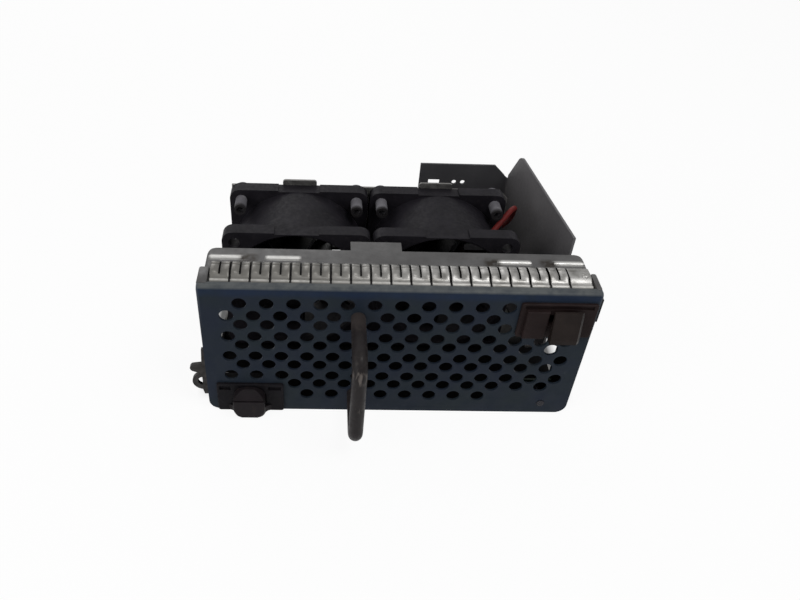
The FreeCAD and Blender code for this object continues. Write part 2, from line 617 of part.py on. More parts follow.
def make_corner_plate():
    """Black sheet bent round the rear right corner; it carries the rear connector."""
    sheet_part = body("connector_bracket")
    slope = "((corner_front_x - corner_x)/(corner_y - corner_front_y))"
    thick = f"(corner_wall*sqrt(1 + {slope}^2))"
    inner = f"(corner_x + {slope}*corner_wall - {thick})"
    plan = sketch(sheet_part, "XY_Plane", "tray_wall")
    outline(plan, [
        ("corner_front_x", "corner_front_y"), ("corner_x", "corner_y"),
        ("corner_left_x", "corner_y"), ("corner_left_x", "corner_y - corner_wall"),
        (inner, "corner_y - corner_wall"), (f"corner_front_x - {thick}", "corner_front_y"),
    ])
    pad(sheet_part, plan, "plate_h - tray_wall")
    round_edges(sheet_part, "2*corner_wall", lambda spot, way, edge:
                along(way, 2) and close(spot.x, "corner_x") and close(spot.y, "corner_y"))
    round_edges(sheet_part, "corner_wall", lambda spot, way, edge:
                along(way, 2) and close(spot.x, inner) and close(spot.y, "corner_y - corner_wall"))
    flank = sketch(sheet_part, "YZ_Plane", "corner_front_x + 2")
    outline(flank, [
        ("corner_y - corner_peak_back", "plate_h", "6", -1),
        ("corner_y - corner_peak_back + 5", "plate_h - 2.6"), ("corner_y", "corner_notch_z"),
        ("corner_y + 2", "corner_notch_z"), ("corner_y + 2", "plate_h + 2"),
        ("corner_y - corner_peak_back", "plate_h + 2"),
    ])
    pocket(sheet_part, flank, "corner_front_x + 2 - corner_x + 2.5")
    rear = sketch(sheet_part, "XZ_Plane", "-(corner_y + 1)")
    outline(rear, [
        ("corner_left_x - 1", "corner_rear_top"), ("corner_x - 8", "corner_rear_top"),
        ("corner_x - 1", "corner_notch_z"), ("corner_x + 1", "corner_notch_z"),
        ("corner_x + 1", "plate_h + 2"), ("corner_left_x - 1", "plate_h + 2"),
    ])
    pocket(sheet_part, rear, "corner_wall + 1.5", reverse=True)
    windows = sketch(sheet_part, "XZ_Plane", "-(corner_y + 1)")
    rectangle(windows, "corner_slot_x - corner_slot_w/2", "corner_slot_z - corner_slot_h/2",
              "corner_slot_w", "corner_slot_h")
    for x in ("corner_slot_x + 10.1", "corner_slot_x + 14.4"):
        circle(windows, x, "corner_slot_z + 0.3", "corner_hole_r")
    rectangle(windows, "board_x - plug_w/2 - plug_gap", "plug_z - plug_gap", "plug_w + 2*plug_gap",
              "plug_h + 2*plug_gap")
    for x, z in board_corners():
        circle(windows, x, z, "screw_r + snug")
    pocket(sheet_part, windows, "corner_wall + 1.5", reverse=True)
    foot = sketch(sheet_part, "XY_Plane", "tray_wall")
    outline(foot, [
        (f"corner_front_x - {thick}/2 - {slope}*3", "corner_front_y + 3"),
        (f"corner_x - {thick}/2 + {slope}*12", "corner_y - 12"),
        (f"corner_x - {thick}/2 + {slope}*12 - corner_foot", "corner_y - 12"),
        (f"corner_front_x - {thick}/2 - {slope}*3 - corner_foot", "corner_front_y + 3"),
    ])
    pad(sheet_part, foot, "tray_wall")
    heel = sketch(sheet_part, "XY_Plane", "tray_wall")
    rectangle(heel, "corner_left_x", "corner_y - corner_wall/2 - corner_foot", "36",
              "corner_foot")
    pad(sheet_part, heel, "tray_wall")
    rivet_holes(sheet_part, "corner")


# ---------------------------------------------------------------------------------------------
# Fans; each is drawn with its air stream along its own +Z and then turned to +Y
# ---------------------------------------------------------------------------------------------
def fan_centres():
    """Formulas for the X of both fans' axes."""
    step = "(fan_size + fan_gap)/2"
    return [f"fan_pair_x - {step}", f"fan_pair_x + {step}"]


def face_rear(obj, x):
    """Puts a fan piece on its fan's axis with its own +Z towards the rear."""
    return place(obj, x, "fan_front", FAN_Z, ALONG["y"])


def ring(label, x, profile):
    """A body turned round its own Z axis from (radius, height) points."""
    turned = body(label)
    section = sketch(turned, "XZ_Plane")
    outline(section, profile)
    revolve(turned, section)
    face_rear(turned, x)
    return turned


def tube_profile(inner, outer, low, high):
    """Section of a plain ring."""
    return [(inner, low), (outer, low), (outer, high), (inner, high)]


def make_fan_housing(label, x):
    """Square frame with two flanges, a round waist, and the motor's carrier at its outlet."""
    frame = body(label)
    square = sketch(frame, "XY_Plane")
    half = "fan_size/2"
    rectangle(square, f"-{half}", f"-{half}", "fan_size", "fan_size")
    pad(frame, square, "fan_depth")
    round_edges(frame, "flange_corner", lambda spot, way, edge: along(way, 2))
    waist = sketch(frame, "XY_Plane", "flange")
    rectangle(waist, f"-{half} - 1", f"-{half} - 1", "fan_size + 2", "fan_size + 2")
    circle(waist, "0", "0", "drum_r")
    pocket(frame, waist, "fan_depth - 2*flange", reverse=True)
    bore = sketch(frame, "XY_Plane")
    circle(bore, "0", "0", "bore_r")
    for side in (-1, 1):
        for level in (-1, 1):
            circle(bore, f"{side}*screw_square/2", f"{level}*screw_square/2", "screw_hole_r + snug")
    rectangle(bore, "-notch_w/2", f"-{half} - 1", "notch_w", "notch_depth + 1")
    pocket(frame, bore, "fan_depth", reverse=True)
    round_edges(frame, "mouth", lambda spot, way, edge:
                close(spot.z, "0") and edge.Curve.TypeId == "Part::GeomCircle"
                and close(edge.Curve.Radius, "bore_r"), "PartDesign::Chamfer")
    vane = sketch(frame, "XY_Plane", "fan_depth - vane_depth - vane_recess")
    rectangle(vane, "motor_base_r - 2", "-vane_wall/2", "bore_r + 0.6 - motor_base_r + 2",
              "vane_wall")
    disc = sketch(frame, "XY_Plane", MOTOR_BASE)
    circle(disc, "0", "0", "motor_base_r")
    first_vane = pad(frame, vane, "vane_depth")
    ring_of(frame, first_vane, vane, "vane_count")
    pad(frame, disc, "motor_base_wall")
    tube = sketch(frame, "XY_Plane", "tube_front")
    circle(tube, "0", "0", "tube_r")
    circle(tube, "0", "0", "bearing_r + running_gap")
    pad(frame, tube, f"{MOTOR_BASE} + 1 - tube_front")
    face_rear(frame, x)
    return frame


def make_impeller(label, x):
    """Hub cup with twisted blades; its edge runs close to the frame's bore."""
    rotor = body(label)
    section = sketch(rotor, "XZ_Plane")
    front, rear = "hub_front", "hub_rear"
    outline(section, [
        ("0", front), ("hub_r - hub_round", front, "hub_round", 1),
        ("hub_r", f"{front} + hub_round"), ("hub_r", rear), ("hub_r - hub_wall", rear),
        ("hub_r - hub_wall", f"{front} + hub_wall + 1"),
        ("hub_r - hub_wall - 1", f"{front} + hub_wall"),
        ("shaft_r + 1.7", f"{front} + hub_wall"), ("shaft_r + 1.7", f"{front} + hub_wall + 5"),
        ("shaft_r + press_gap", f"{front} + hub_wall + 5"),
        ("shaft_r + press_gap", f"{front} + hub_wall"), ("0", f"{front} + hub_wall"),
    ])
    revolve(rotor, section)
    sections = []
    for plane, chord, angle in (("hub_r - hub_wall + 0.4", "root_chord", "root_angle"),
                                ("bore_r + 1", "tip_chord", "tip_angle")):
        sections.append(blade_section(rotor, plane, chord, angle))
    loft = rotor.newObject("PartDesign::AdditiveLoft", label + "_blade")
    loft.Profile = sections[0]
    loft.Sections = sections[1:]
    loft.Ruled = True
    settle(rotor, loft)
    disc = sketch(rotor, "XY_Plane")
    ring_of(rotor, loft, disc, "blade_count")
    trim = sketch(rotor, "XZ_Plane")
    rectangle(trim, "bore_r - blade_tip_gap", "0", "10", "fan_depth")
    revolve(rotor, trim, kind="PartDesign::Groove")
    face_rear(rotor, x)


def blade_section(rotor, offset, chord, angle):
    """A thin cambered section across one blade, on a plane at a radius."""
    sk = sketch(rotor, "YZ_Plane", offset)
    cosine, sine = f"cos({angle})", f"sin({angle})"

    def spot(along_chord, across):
        return (f"{along_chord}*{chord}*{cosine} - ({across})*{sine}",
                f"blade_mid + {along_chord}*{chord}*{sine} + ({across})*{cosine}")

    sag = f"(({chord})^2/4 + camber^2)/(2*camber)"
    lead_low, tail_low = spot("-0.5", "-blade_wall/2"), spot("0.5", "-blade_wall/2")
    tail_high, lead_high = spot("0.5", "blade_wall/2"), spot("-0.5", "blade_wall/2")
    outline(sk, [
        (*lead_low, sag, -1), tail_low, (*tail_high, f"{sag} + blade_wall", 1), lead_high,
    ])
    return sk


def make_fan(number, x):
    """All pieces of one fan."""
    name = f"fan_{number}_"
    make_fan_housing(name + "housing", x)
    make_impeller(name + "impeller", x)
    shaft_y = "fan_front + hub_front + hub_wall + 0.5"
    part(rod(name + "rod", "y", "shaft_r", "shaft_len", x, shaft_y, FAN_Z), name + "shaft")
    bearings = []
    for i, front in enumerate(("tube_front + 1", f"{MOTOR_BASE} - bearing_w - 1")):
        y = f"fan_front + {front}"
        race = rod(f"{name}race_{i}", "y", "bearing_r", "bearing_w", x, y, FAN_Z)
        bore = rod(f"{name}race_bore_{i}", "y", "shaft_r + running_gap", "bearing_w", x, y, FAN_Z)
        bearings.append(cut(f"{name}bearing_{i}", race, [bore]))
    part(group(name + "bearing_pair", bearings), name + "bearings")
    rim = "hub_r - hub_wall - press_gap"
    ring(name + "magnet_ring", x, tube_profile(
        f"{rim} - magnet_wall", rim, "hub_rear - 3 - magnet_len", "hub_rear - 3"))
    stator = ring(name + "stator", x, tube_profile(
        "tube_r + press_gap", f"{rim} - magnet_wall - air_gap", "hub_rear - 4.5 - stator_len",
        "hub_rear - 4.5"))
    slot = sketch(stator, "XY_Plane", "hub_rear")
    rectangle(slot, "tube_r + 1.8", "-1.7", "hub_r", "3.4")
    ring_of(stator, pocket(stator, slot), slot, "4")
    ring(name + "drive_board", x, tube_profile(
        "tube_r + 0.2", "drive_board_r", f"{MOTOR_BASE} - drive_board_wall", MOTOR_BASE))
    mounts = []
    for side in (-1, 1):
        for level in (-1, 1):
            at = (f"{x} + {side}*screw_square/2", f"{FAN_Z} + {level}*screw_square/2")
            tag = f"{name}mount_{side + 1}{level + 1}_"
            flange_y = f"{FAN_REAR} - flange"
            barrel = rod(tag + "a", "y", "mount_head_r", "mount_head_len", at[0],
                         f"{flange_y} - mount_head_len", at[1])
            neck = rod(tag + "b", "y", "mount_neck_r", "flange + back_wall + 0.5", at[0],
                       f"{flange_y} - 0.25", at[1])
            tail = rod(tag + "c", "y", "mount_tail_r", "mount_tail_len", at[0],
                       f"{FAN_REAR} + back_wall", at[1])
            bore = rod(tag + "e", "y", "mount_bore_r", "mount_bore_len", at[0],
                       f"{flange_y} - mount_head_len", at[1])
            mounts.append(cut(tag + "f", fuse(tag + "d", [barrel, neck, tail]), [bore]))
    part(group(name + "mounts", mounts), name + "isolators")


# ---------------------------------------------------------------------------------------------
# Rear electronics
# ---------------------------------------------------------------------------------------------
BOARD_REAR = "(corner_y - corner_wall - post_len)"


def board_corners():
    """Where the control board's screws are, as (X, Z)."""
    spots = []
    for side in (-1, 1):
        for z in ("board_z + post_inset", "board_z + board_h - post_inset"):
            spots.append((f"board_x + ({side})*(board_w/2 - post_inset)", z))
    return spots


def make_electronics():
    """Control board on its posts, blind-mate plug through the sheet, and the lead's header."""
    board = body("control_board")
    face = sketch(board, "XZ_Plane", f"-{BOARD_REAR}")
    rectangle(face, "board_x - board_w/2", "board_z", "board_w", "board_h")
    for x, z in board_corners():
        circle(face, x, z, "screw_r + snug")
    pad(board, face, "board_wall")
    round_edges(board, "1.0", lambda spot, way, edge:
                along(way, 1) and edge.Curve.TypeId == "Part::GeomLine")
    posts, screws = [], []
    for i, (x, z) in enumerate(board_corners()):
        post = rod(f"post_{i}", "y", "post_r", "post_len", x, BOARD_REAR, z)
        bore = rod(f"post_bore_{i}", "y", "screw_r + snug", "post_len", x, BOARD_REAR, z)
        posts.append(cut(f"post_cut_{i}", post, [bore]))
        front = f"{BOARD_REAR} - board_wall"
        shank = rod(f"board_shank_{i}", "y", "screw_r", "board_wall + post_len + corner_wall + 1",
                    x, f"{front} - 0.5", z)
        head = rod(f"board_head_{i}", "y", "post_r", "1.4", x, f"{front} - 1.4", z)
        screws.append(fuse(f"board_screw_{i}", [shank, head]))
    part(group("posts", posts), "board_standoffs")
    part(group("screws", screws), "board_screws")

    plug = body("blind_mate_connector")
    shell = sketch(plug, "XZ_Plane", f"-{BOARD_REAR}")
    rectangle(shell, "board_x - plug_w/2", "plug_z", "plug_w", "plug_h")
    pad(plug, shell, f"corner_y - {BOARD_REAR} + plug_reach", reverse=True)
    round_edges(plug, "1.0", lambda spot, way, edge: along(way, 1))
    cavity = sketch(plug, "XZ_Plane", "-(corner_y + plug_reach)")
    rectangle(cavity, "board_x - plug_w/2 + plug_wall", "plug_z + plug_wall",
              "plug_w - 2*plug_wall", "plug_h - 2*plug_wall")
    pocket(plug, cavity, "plug_reach - 1", reverse=True)
    contacts = []
    for i in range(6):
        for j in (-1, 1):
            contacts.append(box(f"contact_{i}_{j + 1}", f"board_x + ({i} - 2.5)*3 - 0.4",
                                "corner_y + 1", f"plug_z + plug_h/2 + ({j})*1.6 - 0.4",
                                "0.8", "plug_reach - 3", "0.8"))
    part(group("contacts", contacts), "connector_contacts")

    header = body("lead_header")
    foot = sketch(header, "XZ_Plane", f"-({BOARD_REAR} - board_wall)")
    rectangle(foot, "header_x - header_w/2", "header_z - header_h/2", "header_w", "header_h")
    pad(header, foot, "header_d")
    round_edges(header, "0.5", lambda spot, way, edge: along(way, 1))
    make_lead()


def rounded_route(points, label):
    """A wire of straight runs joined by tangent arcs."""
    runs = [there - here for here, there in zip(points, points[1:])]
    edges, start = [], points[0]
    for spot, before, after in zip(points[1:], runs, runs[1:]):
        turn = before.getAngle(after)
        radius = 0.45 * min(before.Length, after.Length) / math.tan(turn / 2)
        reach = radius * math.tan(turn / 2)
        entry = spot - before * (reach / before.Length)
        leave = spot + after * (reach / after.Length)
        inward = after * (1 / after.Length) - before * (1 / before.Length)
        inward.normalize()
        middle = spot + inward * (radius / math.cos(turn / 2) - radius)
        edges.append(Part.LineSegment(start, entry).toShape())
        edges.append(Part.Arc(entry, middle, leave).toShape())
        start = leave
        print(f"{label}: bend radius {radius:.1f}")
    edges.append(Part.LineSegment(start, points[-1]).toShape())
    return Part.Wire(edges)


def make_lead():
    """Supply lead of the right-hand fan, from its drum past the rear flange to the header."""
    x = fan_centres()[1]
    drum = "(drum_r + lead_r*sin(lead_lean) + 0.05)"
    first = V(value(f"{x} + {drum}*cos(lead_angle)"), value("fan_front + lead_y"),
              value(f"{FAN_Z} + {drum}*sin(lead_angle)"))
    out = V(value("cos(lead_lean)*cos(lead_angle)"), value("sin(lead_lean)"),
            value("cos(lead_lean)*sin(lead_angle)"))
    last = V(value("header_x + 2"), value(f"{BOARD_REAR} - board_wall - header_d"),
             value("header_z"))
    points = [
        first, first + out * value("lead_rise"),
        V(value("back_right + 4.6"), value(f"{FAN_REAR} + 5.5"), value(f"{FAN_Z} + 9")),
        last - V(0, value("lead_tail"), 0), last,
    ]
    route = rounded_route(points, "lead")
    radius = value("lead_r")
    circle_edge = Part.Circle(first, out, radius).toShape()
    solid = Part.Wire([circle_edge])
    pipe = Part.Wire(route.Edges).makePipeShell([solid], True, True)
    print("lead volume over section times length:",
          round(pipe.Volume / (math.pi * radius ** 2 * route.Length), 4))
    feature = doc.addObject("Part::Feature", "lead")
    feature.Shape = pipe
    part(feature, "fan_2_lead_red")


# ---------------------------------------------------------------------------------------------
# Front fittings
# ---------------------------------------------------------------------------------------------
def make_handle():
    """D-shaped pull bent from one round bar, with two screws from behind the plate."""
    handle = body("pull_handle")
    low, high = HANDLE_FEET
    path = sketch(handle, "YZ_Plane", "handle_x")
    front = "-(handle_reach - handle_r)"
    outline(path, [
        ("0", low), (f"{front} + handle_bend", low, "handle_bend", -1),
        (front, f"{low} + handle_bend"), (front, f"{high} - handle_bend", "handle_bend", -1),
        (f"{front} + handle_bend", high), ("0", high),
    ], closed=False)
    bar = sketch(handle, "XZ_Plane")
    circle(bar, "handle_x", low, "handle_r")
    doc.recompute()
    pipe = handle.newObject("PartDesign::AdditivePipe", "handle_pipe")
    pipe.Profile = bar
    pipe.Spine = (path, [f"Edge{i}" for i in range(1, 6)])
    settle(handle, pipe)
    bores = sketch(handle, "XZ_Plane")
    for z in HANDLE_FEET:
        circle(bores, "handle_x", z, "handle_screw_r + snug")
    pocket(handle, bores, "handle_screw_len + 0.5", reverse=True)
    screws = []
    for i, z in enumerate(HANDLE_FEET):
        shank = rod(f"handle_shank_{i}", "y", "handle_screw_r",
                    "handle_screw_len + plate_wall + 0.5", "handle_x", "-handle_screw_len", z)
        head = rod(f"handle_head_{i}", "y", "handle_screw_r + 1.3", "1.6", "handle_x",
                   "plate_wall", z)
        screws.append(fuse(f"handle_screw_{i}", [shank, head]))
    part(group("handle_screw_pair", screws), "handle_screws")


def make_status_light():
    """Light pipe through the plate and the small board behind it."""
    lens = rod("pipe_lens", "y", "light_r - snug", "light_len + 0.3", "light_x", "-0.3", "light_z")
    ring_behind = rod("pipe_ring", "y", "light_r + 0.8", "1", "light_x", "plate_wall", "light_z")
    part(fuse("light_pipe", [lens, ring_behind]), "status_light_pipe")
    part(box("led_board", "light_x - light_board_w/2", "light_len", "tray_wall",
             "light_board_w", "1", "light_board_h"), "status_led_board")


def latch_x(side, word):
    """X of a latch's feature, measured in from its own edge of the plate."""
    return f"(left_{word}_in - plate_w/2)" if side == "left" else f"(plate_w/2 - right_{word}_in)"


def latch_z(side, word):
    """Z of a latch's feature, measured up from the tray or down from the plate's top."""
    return f"left_{word}_z" if side == "left" else f"(plate_h - right_{word}_down)"


def latch_body(side):
    """X, Z, width and height of the part of a latch that goes through the plate."""
    return latch_x(side, "body"), latch_z(side, "body"), f"{side}_body_w", f"{side}_body_h"


def make_latch_housing(side, outward):
    """Bezel on the plate and body behind it, with a channel for the pawl and a stem slot."""
    housing = body(f"latch_{side}_housing")
    bezel = sketch(housing, "XZ_Plane")
    rectangle(bezel, latch_x(side, "bezel"), latch_z(side, "bezel"), f"{side}_bezel_w",
              f"{side}_bezel_h")
    pad(housing, bezel, "bezel_wall")
    round_edges(housing, "1.0", lambda spot, way, edge: along(way, 1))
    round_edges(housing, "0.4", lambda spot, way, edge: close(spot.y, "-bezel_wall"))
    rear = sketch(housing, "XZ_Plane")
    x, z, w, h = latch_body(side)
    rectangle(rear, x, z, w, h)
    pad(housing, rear, "latch_body_d", reverse=True)
    reach = "(stem_w/2 + latch_travel + stop_gap)"
    mouth = f"{x} - 1" if outward < 0 else f"{x} + {w} + 1"
    stem = latch_x(side, "stem")
    low = f"{latch_z(side, 'pawl')} - pawl_h/2"
    depth = (f"{stem} + {reach} - ({mouth})" if outward < 0
             else f"{mouth} - ({stem} - {reach})")
    channel = sketch(housing, "YZ_Plane", mouth)
    gap = "latch_gap"
    rectangle(channel, f"pawl_y - {gap}", f"{low} - {gap}", f"pawl_wall + 2*{gap}",
              f"pawl_h + 2*{gap}")
    pocket(housing, channel, depth, reverse=outward < 0)
    slot = sketch(housing, "XZ_Plane", "bezel_wall + 1")
    start = f"{stem} - stem_w/2 - {gap}"
    if outward > 0:
        start += " - latch_travel"
    rectangle(slot, start, f"{low} - {gap}", f"stem_w + latch_travel + 2*{gap}",
              f"pawl_h + 2*{gap}")
    pocket(housing, slot, "bezel_wall + 1 + pawl_y")
    return housing


def make_left_latch():
    """Lower left latch: thumb piece, and pawl with a nose and an eye beside the plate."""
    housing = make_latch_housing("left", -1)
    bezel, middle = latch_x("left", "bezel"), latch_x("left", "thumb")
    recess = sketch(housing, "XZ_Plane", "bezel_wall")
    rectangle(recess, f"{bezel} + 1", "left_bezel_z + 12", f"{middle} - {bezel} - thumb_w/2 - 2.2",
              "2.2")
    rectangle(recess, f"{middle} + thumb_w/2 + 1.2", "left_bezel_z + 12",
              f"{bezel} + left_bezel_w - {middle} - thumb_w/2 - 2.2", "2.2")
    pocket(housing, recess, "bezel_wall - 0.4")
    make_thumb(middle)
    pawl = body("latch_left_pawl")
    plan = sketch(pawl, "XZ_Plane", "-pawl_y")
    stem, edge = latch_x("left", "stem"), latch_x("left", "pawl")
    low, high = "left_pawl_z - pawl_h/2", "left_pawl_z + pawl_h/2"
    outline(plan, [
        (f"{stem} + stem_w/2", low), (f"{stem} + stem_w/2", high), (edge, high),
        (edge, "left_pawl_top"), (f"{edge} - 1.1", "left_pawl_top"), (f"{edge} - 1.6", "22.6"),
        (f"{edge} - left_nose + 1.6", "22", "1.9", 1), (f"{edge} - left_nose + 1.6", "18.4"),
        (f"{edge} - 2.2", "17.1", "4.5", 1), (f"{edge} - 2.2", "8.2"), (f"{edge} - 1.6", low),
    ])
    outline(plan, [
        (f"{edge} - 1.9", "12.9 + eye_h/2", "eye_r", 1), (f"{edge} - 1.9", "12.9 - eye_h/2"),
    ])
    pad(pawl, plan, "pawl_wall", reverse=True)


def make_thumb(middle):
    """Left thumb piece: a tongue with an arched top, and a bell-shaped foot that flares out."""
    thumb = body("latch_left_thumb")
    back = "(bezel_wall + latch_gap)"
    front = f"(-{back} - thumb_rise)"
    face = sketch(thumb, "XZ_Plane", back)
    shoulder, spring = "thumb_low + 4.5", "thumb_top - thumb_arch"
    outline(face, [
        (f"{middle} - thumb_foot_w/2", "thumb_low"),
        (f"{middle} + thumb_foot_w/2", "thumb_low", "5.5", 1),
        (f"{middle} + thumb_w/2", shoulder),
        (f"{middle} + thumb_w/2", spring, "thumb_arch", 1),
        (f"{middle} + thumb_w/2 - thumb_arch", "thumb_top"),
        (f"{middle} - thumb_w/2 + thumb_arch", "thumb_top", "thumb_arch", 1),
        (f"{middle} - thumb_w/2", spring),
        (f"{middle} - thumb_w/2", shoulder, "5.5", 1),
    ])
    pad(thumb, face, "thumb_rise")
    round_edges(thumb, "0.6", lambda spot, way, edge: close(spot.y, front))
    profile = sketch(thumb, "YZ_Plane", f"{middle} - wing_w/2 - 1")
    lip = "thumb_groove_z + thumb_groove"
    outline(profile, [
        (f"{front} - 1", "thumb_groove_z"), (f"{front} + thumb_groove", "thumb_groove_z"),
        (f"{front} + thumb_groove", lip), (f"{front} + 0.3", lip, "5", -1),
        (f"-{back} - thumb_top_rise", "thumb_top"), (f"-{back} - thumb_top_rise", "thumb_top + 1"),
        (f"{front} - 1", "thumb_top + 1"),
    ])
    pocket(thumb, profile, "wing_w + 2", reverse=True)
    wings = sketch(thumb, "XY_Plane", "thumb_low")
    flare, crest = f"-{back} - 1.9", f"-{back} - wing_rise"
    outline(wings, [
        (f"{middle} - wing_w/2", f"-{back}"), (f"{middle} + wing_w/2", f"-{back}", "3", 1),
        (f"{middle} + wing_w/2 - 2.6", flare, "3.2", -1), (f"{middle} + thumb_foot_w/2", crest),
        (f"{middle} - thumb_foot_w/2", crest, "3.2", -1),
        (f"{middle} - wing_w/2 + 2.6", flare, "3", 1),
    ])
    pad(thumb, wings, "wing_h")
    add_stem(thumb, "left", "bezel_wall + latch_gap")


def add_stem(owner, side, back):
    """The stem that joins a latch's finger piece to its pawl."""
    stem = sketch(owner, "XZ_Plane", "-pawl_y")
    rectangle(stem, f"{latch_x(side, 'stem')} - stem_w/2", f"{latch_z(side, 'pawl')} - pawl_h/2",
              "stem_w", "pawl_h")
    pad(owner, stem, f"pawl_y + {back} + 0.2")


def make_right_latch():
    """Upper right latch: a fixed grip, a wedge-shaped button drawn over it, and a pawl."""
    housing = make_latch_housing("right", 1)
    foot = latch_z("right", "bezel")
    recess = sketch(housing, "XZ_Plane", "bezel_wall")
    rectangle(recess, latch_x("right", "body"), f"{foot} + 14", "right_bezel_w - 3", "1.6")
    pocket(housing, recess, "bezel_wall - 0.5")
    grip = sketch(housing, "XZ_Plane", "bezel_wall - 0.1")
    rectangle(grip, latch_x("right", "grip"), f"{foot} + 0.6", "grip_w", "grip_h")
    pad(housing, grip, "grip_rise + 0.1")
    round_edges(housing, "0.5", lambda spot, way, edge: close(spot.y, "-bezel_wall - grip_rise"))
    button = body("latch_right_thumb")
    back = "(bezel_wall + grip_rise + latch_gap)"
    start, floor = latch_x("right", "button"), f"{foot} + 0.9"
    face = sketch(button, "XZ_Plane", back)
    rectangle(face, start, floor, "button_w", "button_h")
    pad(button, face, "button_rise")
    wedge = sketch(button, "YZ_Plane", f"{start} - 1")
    front = f"(-{back} - button_rise)"
    outline(wedge, [
        (f"{front} - 1", f"{floor} + 2"), (front, f"{floor} + 2"),
        (f"-{back} - button_top_rise", f"{floor} + button_h"),
        (f"-{back} - button_top_rise", f"{floor} + button_h + 1"),
        (f"{front} - 1", f"{floor} + button_h + 1"),
    ])
    pocket(button, wedge, "button_w + 2", reverse=True)
    round_edges(button, "button_bevel", lambda spot, way, edge:
                close(spot.x, f"{start} + button_w") and spot.y < value(f"-{back} - 0.1")
                and not along(way, 1), "PartDesign::Chamfer")
    add_stem(button, "right", back)
    pawl = body("latch_right_pawl")
    plan = sketch(pawl, "XZ_Plane", "-pawl_y")
    stem, edge = latch_x("right", "stem"), latch_x("right", "pawl")
    low, high = (f"{latch_z('right', 'pawl')} {sign} pawl_h/2" for sign in "-+")
    nose, tip = latch_z("right", "nose"), f"{latch_z('right', 'nose')} + right_nose_h"
    outline(plan, [
        (f"{stem} - stem_w/2", low), (edge, low), (edge, nose), (f"{edge} + right_nose", nose),
        (f"{edge} + right_nose", f"{tip} - 1"), (f"{edge} + right_nose - 1", tip), (edge, tip),
        (edge, high), (f"{stem} - stem_w/2", high),
    ])
    pad(pawl, plan, "pawl_wall", reverse=True)


# ---------------------------------------------------------------------------------------------
# Build, check and write
# ---------------------------------------------------------------------------------------------
def main():
    """Builds every sub-part and writes one STEP file for each."""
    make_faceplate()
    make_front_collar()
    make_finger_strip()
    make_tray()
    make_rivets()
    make_back_plate()
    make_corner_plate()
    for number, x in enumerate(fan_centres(), start=1):
        make_fan(number, x)
    make_electronics()
    make_handle()
    make_status_light()
    make_left_latch()
    make_right_latch()
    doc.recompute()
    faults = []
    for obj in doc.Objects:
        if {"Invalid", "Error"} & set(obj.State):
            faults.append(f"{obj.Name} is {obj.State}")
    for obj in PARTS:
        shape = obj.Shape
        if shape.isNull() or not shape.isValid() or not shape.Solids:
            faults.append(f"{obj.Label} has no sound solid")
    if faults:
        raise ValueError("; ".join(faults))
    os.makedirs("parts", exist_ok=True)
    for obj in PARTS:
        obj.Shape.exportStep(f"parts/{obj.Label}.step")
        bounds = obj.Shape.BoundBox
        print(f"{obj.Label:24s} {len(obj.Shape.Solids):2d} solids  volume {obj.Shape.Volume:9.1f}"
              f"  x {bounds.XMin:7.2f} {bounds.XMax:7.2f}  y {bounds.YMin:7.2f} {bounds.YMax:7.2f}"
              f"  z {bounds.ZMin:7.2f} {bounds.ZMax:7.2f}")


main()
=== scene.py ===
# %% [markdown]
# # Dressing a hot-swap fan module
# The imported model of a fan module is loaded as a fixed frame, and this script gives it its
# finish.  A fan module is mostly bent sheet and black mouldings, so most of the work is in the
# materials.  The thin things that sheet-metal makers roll, rivet and solder on are meshes.
#
# Blender works in metres.  The frame has +X to the right, +Y into the rack and +Z up.

# %% Load the frame
import json
import math
import random

import bmesh
import bpy
from mathutils import Euler, Matrix, Vector


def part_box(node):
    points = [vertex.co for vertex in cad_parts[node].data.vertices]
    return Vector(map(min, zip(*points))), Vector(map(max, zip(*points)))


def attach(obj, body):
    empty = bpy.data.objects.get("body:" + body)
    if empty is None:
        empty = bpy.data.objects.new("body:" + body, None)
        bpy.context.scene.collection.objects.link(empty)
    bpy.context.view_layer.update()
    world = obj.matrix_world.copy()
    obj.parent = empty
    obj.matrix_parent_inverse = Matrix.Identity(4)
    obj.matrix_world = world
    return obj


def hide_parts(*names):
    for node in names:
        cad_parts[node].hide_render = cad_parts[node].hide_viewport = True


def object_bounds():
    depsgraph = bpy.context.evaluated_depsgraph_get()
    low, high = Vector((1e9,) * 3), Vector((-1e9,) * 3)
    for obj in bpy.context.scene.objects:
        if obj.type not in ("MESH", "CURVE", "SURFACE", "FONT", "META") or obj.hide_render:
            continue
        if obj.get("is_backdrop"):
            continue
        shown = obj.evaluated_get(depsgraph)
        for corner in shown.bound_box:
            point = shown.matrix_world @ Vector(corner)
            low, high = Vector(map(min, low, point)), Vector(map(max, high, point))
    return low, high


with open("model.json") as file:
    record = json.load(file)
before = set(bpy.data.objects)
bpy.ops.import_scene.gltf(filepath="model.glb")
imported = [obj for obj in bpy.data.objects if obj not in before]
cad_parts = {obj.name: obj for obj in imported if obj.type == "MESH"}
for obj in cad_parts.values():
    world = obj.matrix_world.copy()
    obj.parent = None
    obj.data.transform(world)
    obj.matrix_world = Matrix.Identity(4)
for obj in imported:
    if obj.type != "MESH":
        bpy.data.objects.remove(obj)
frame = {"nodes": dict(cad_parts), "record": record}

MM = 0.001
nodes = frame["nodes"]
cad_low, cad_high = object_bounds()
print("nodes:", len(nodes), "box in mm:", [round(side / MM, 1) for side in cad_high - cad_low])

# %% [markdown]
# ## A small kit for finishes
# Every finish starts from one Principled shader.  Plain numbers go on the shader's own sockets,
# and only what changes over the surface is linked to it.  All patterns read Object coordinates,
# because a node's object sits at the origin: a grain of half a millimetre is then half a
# millimetre on every piece, and it doesn't slide when a joint moves.


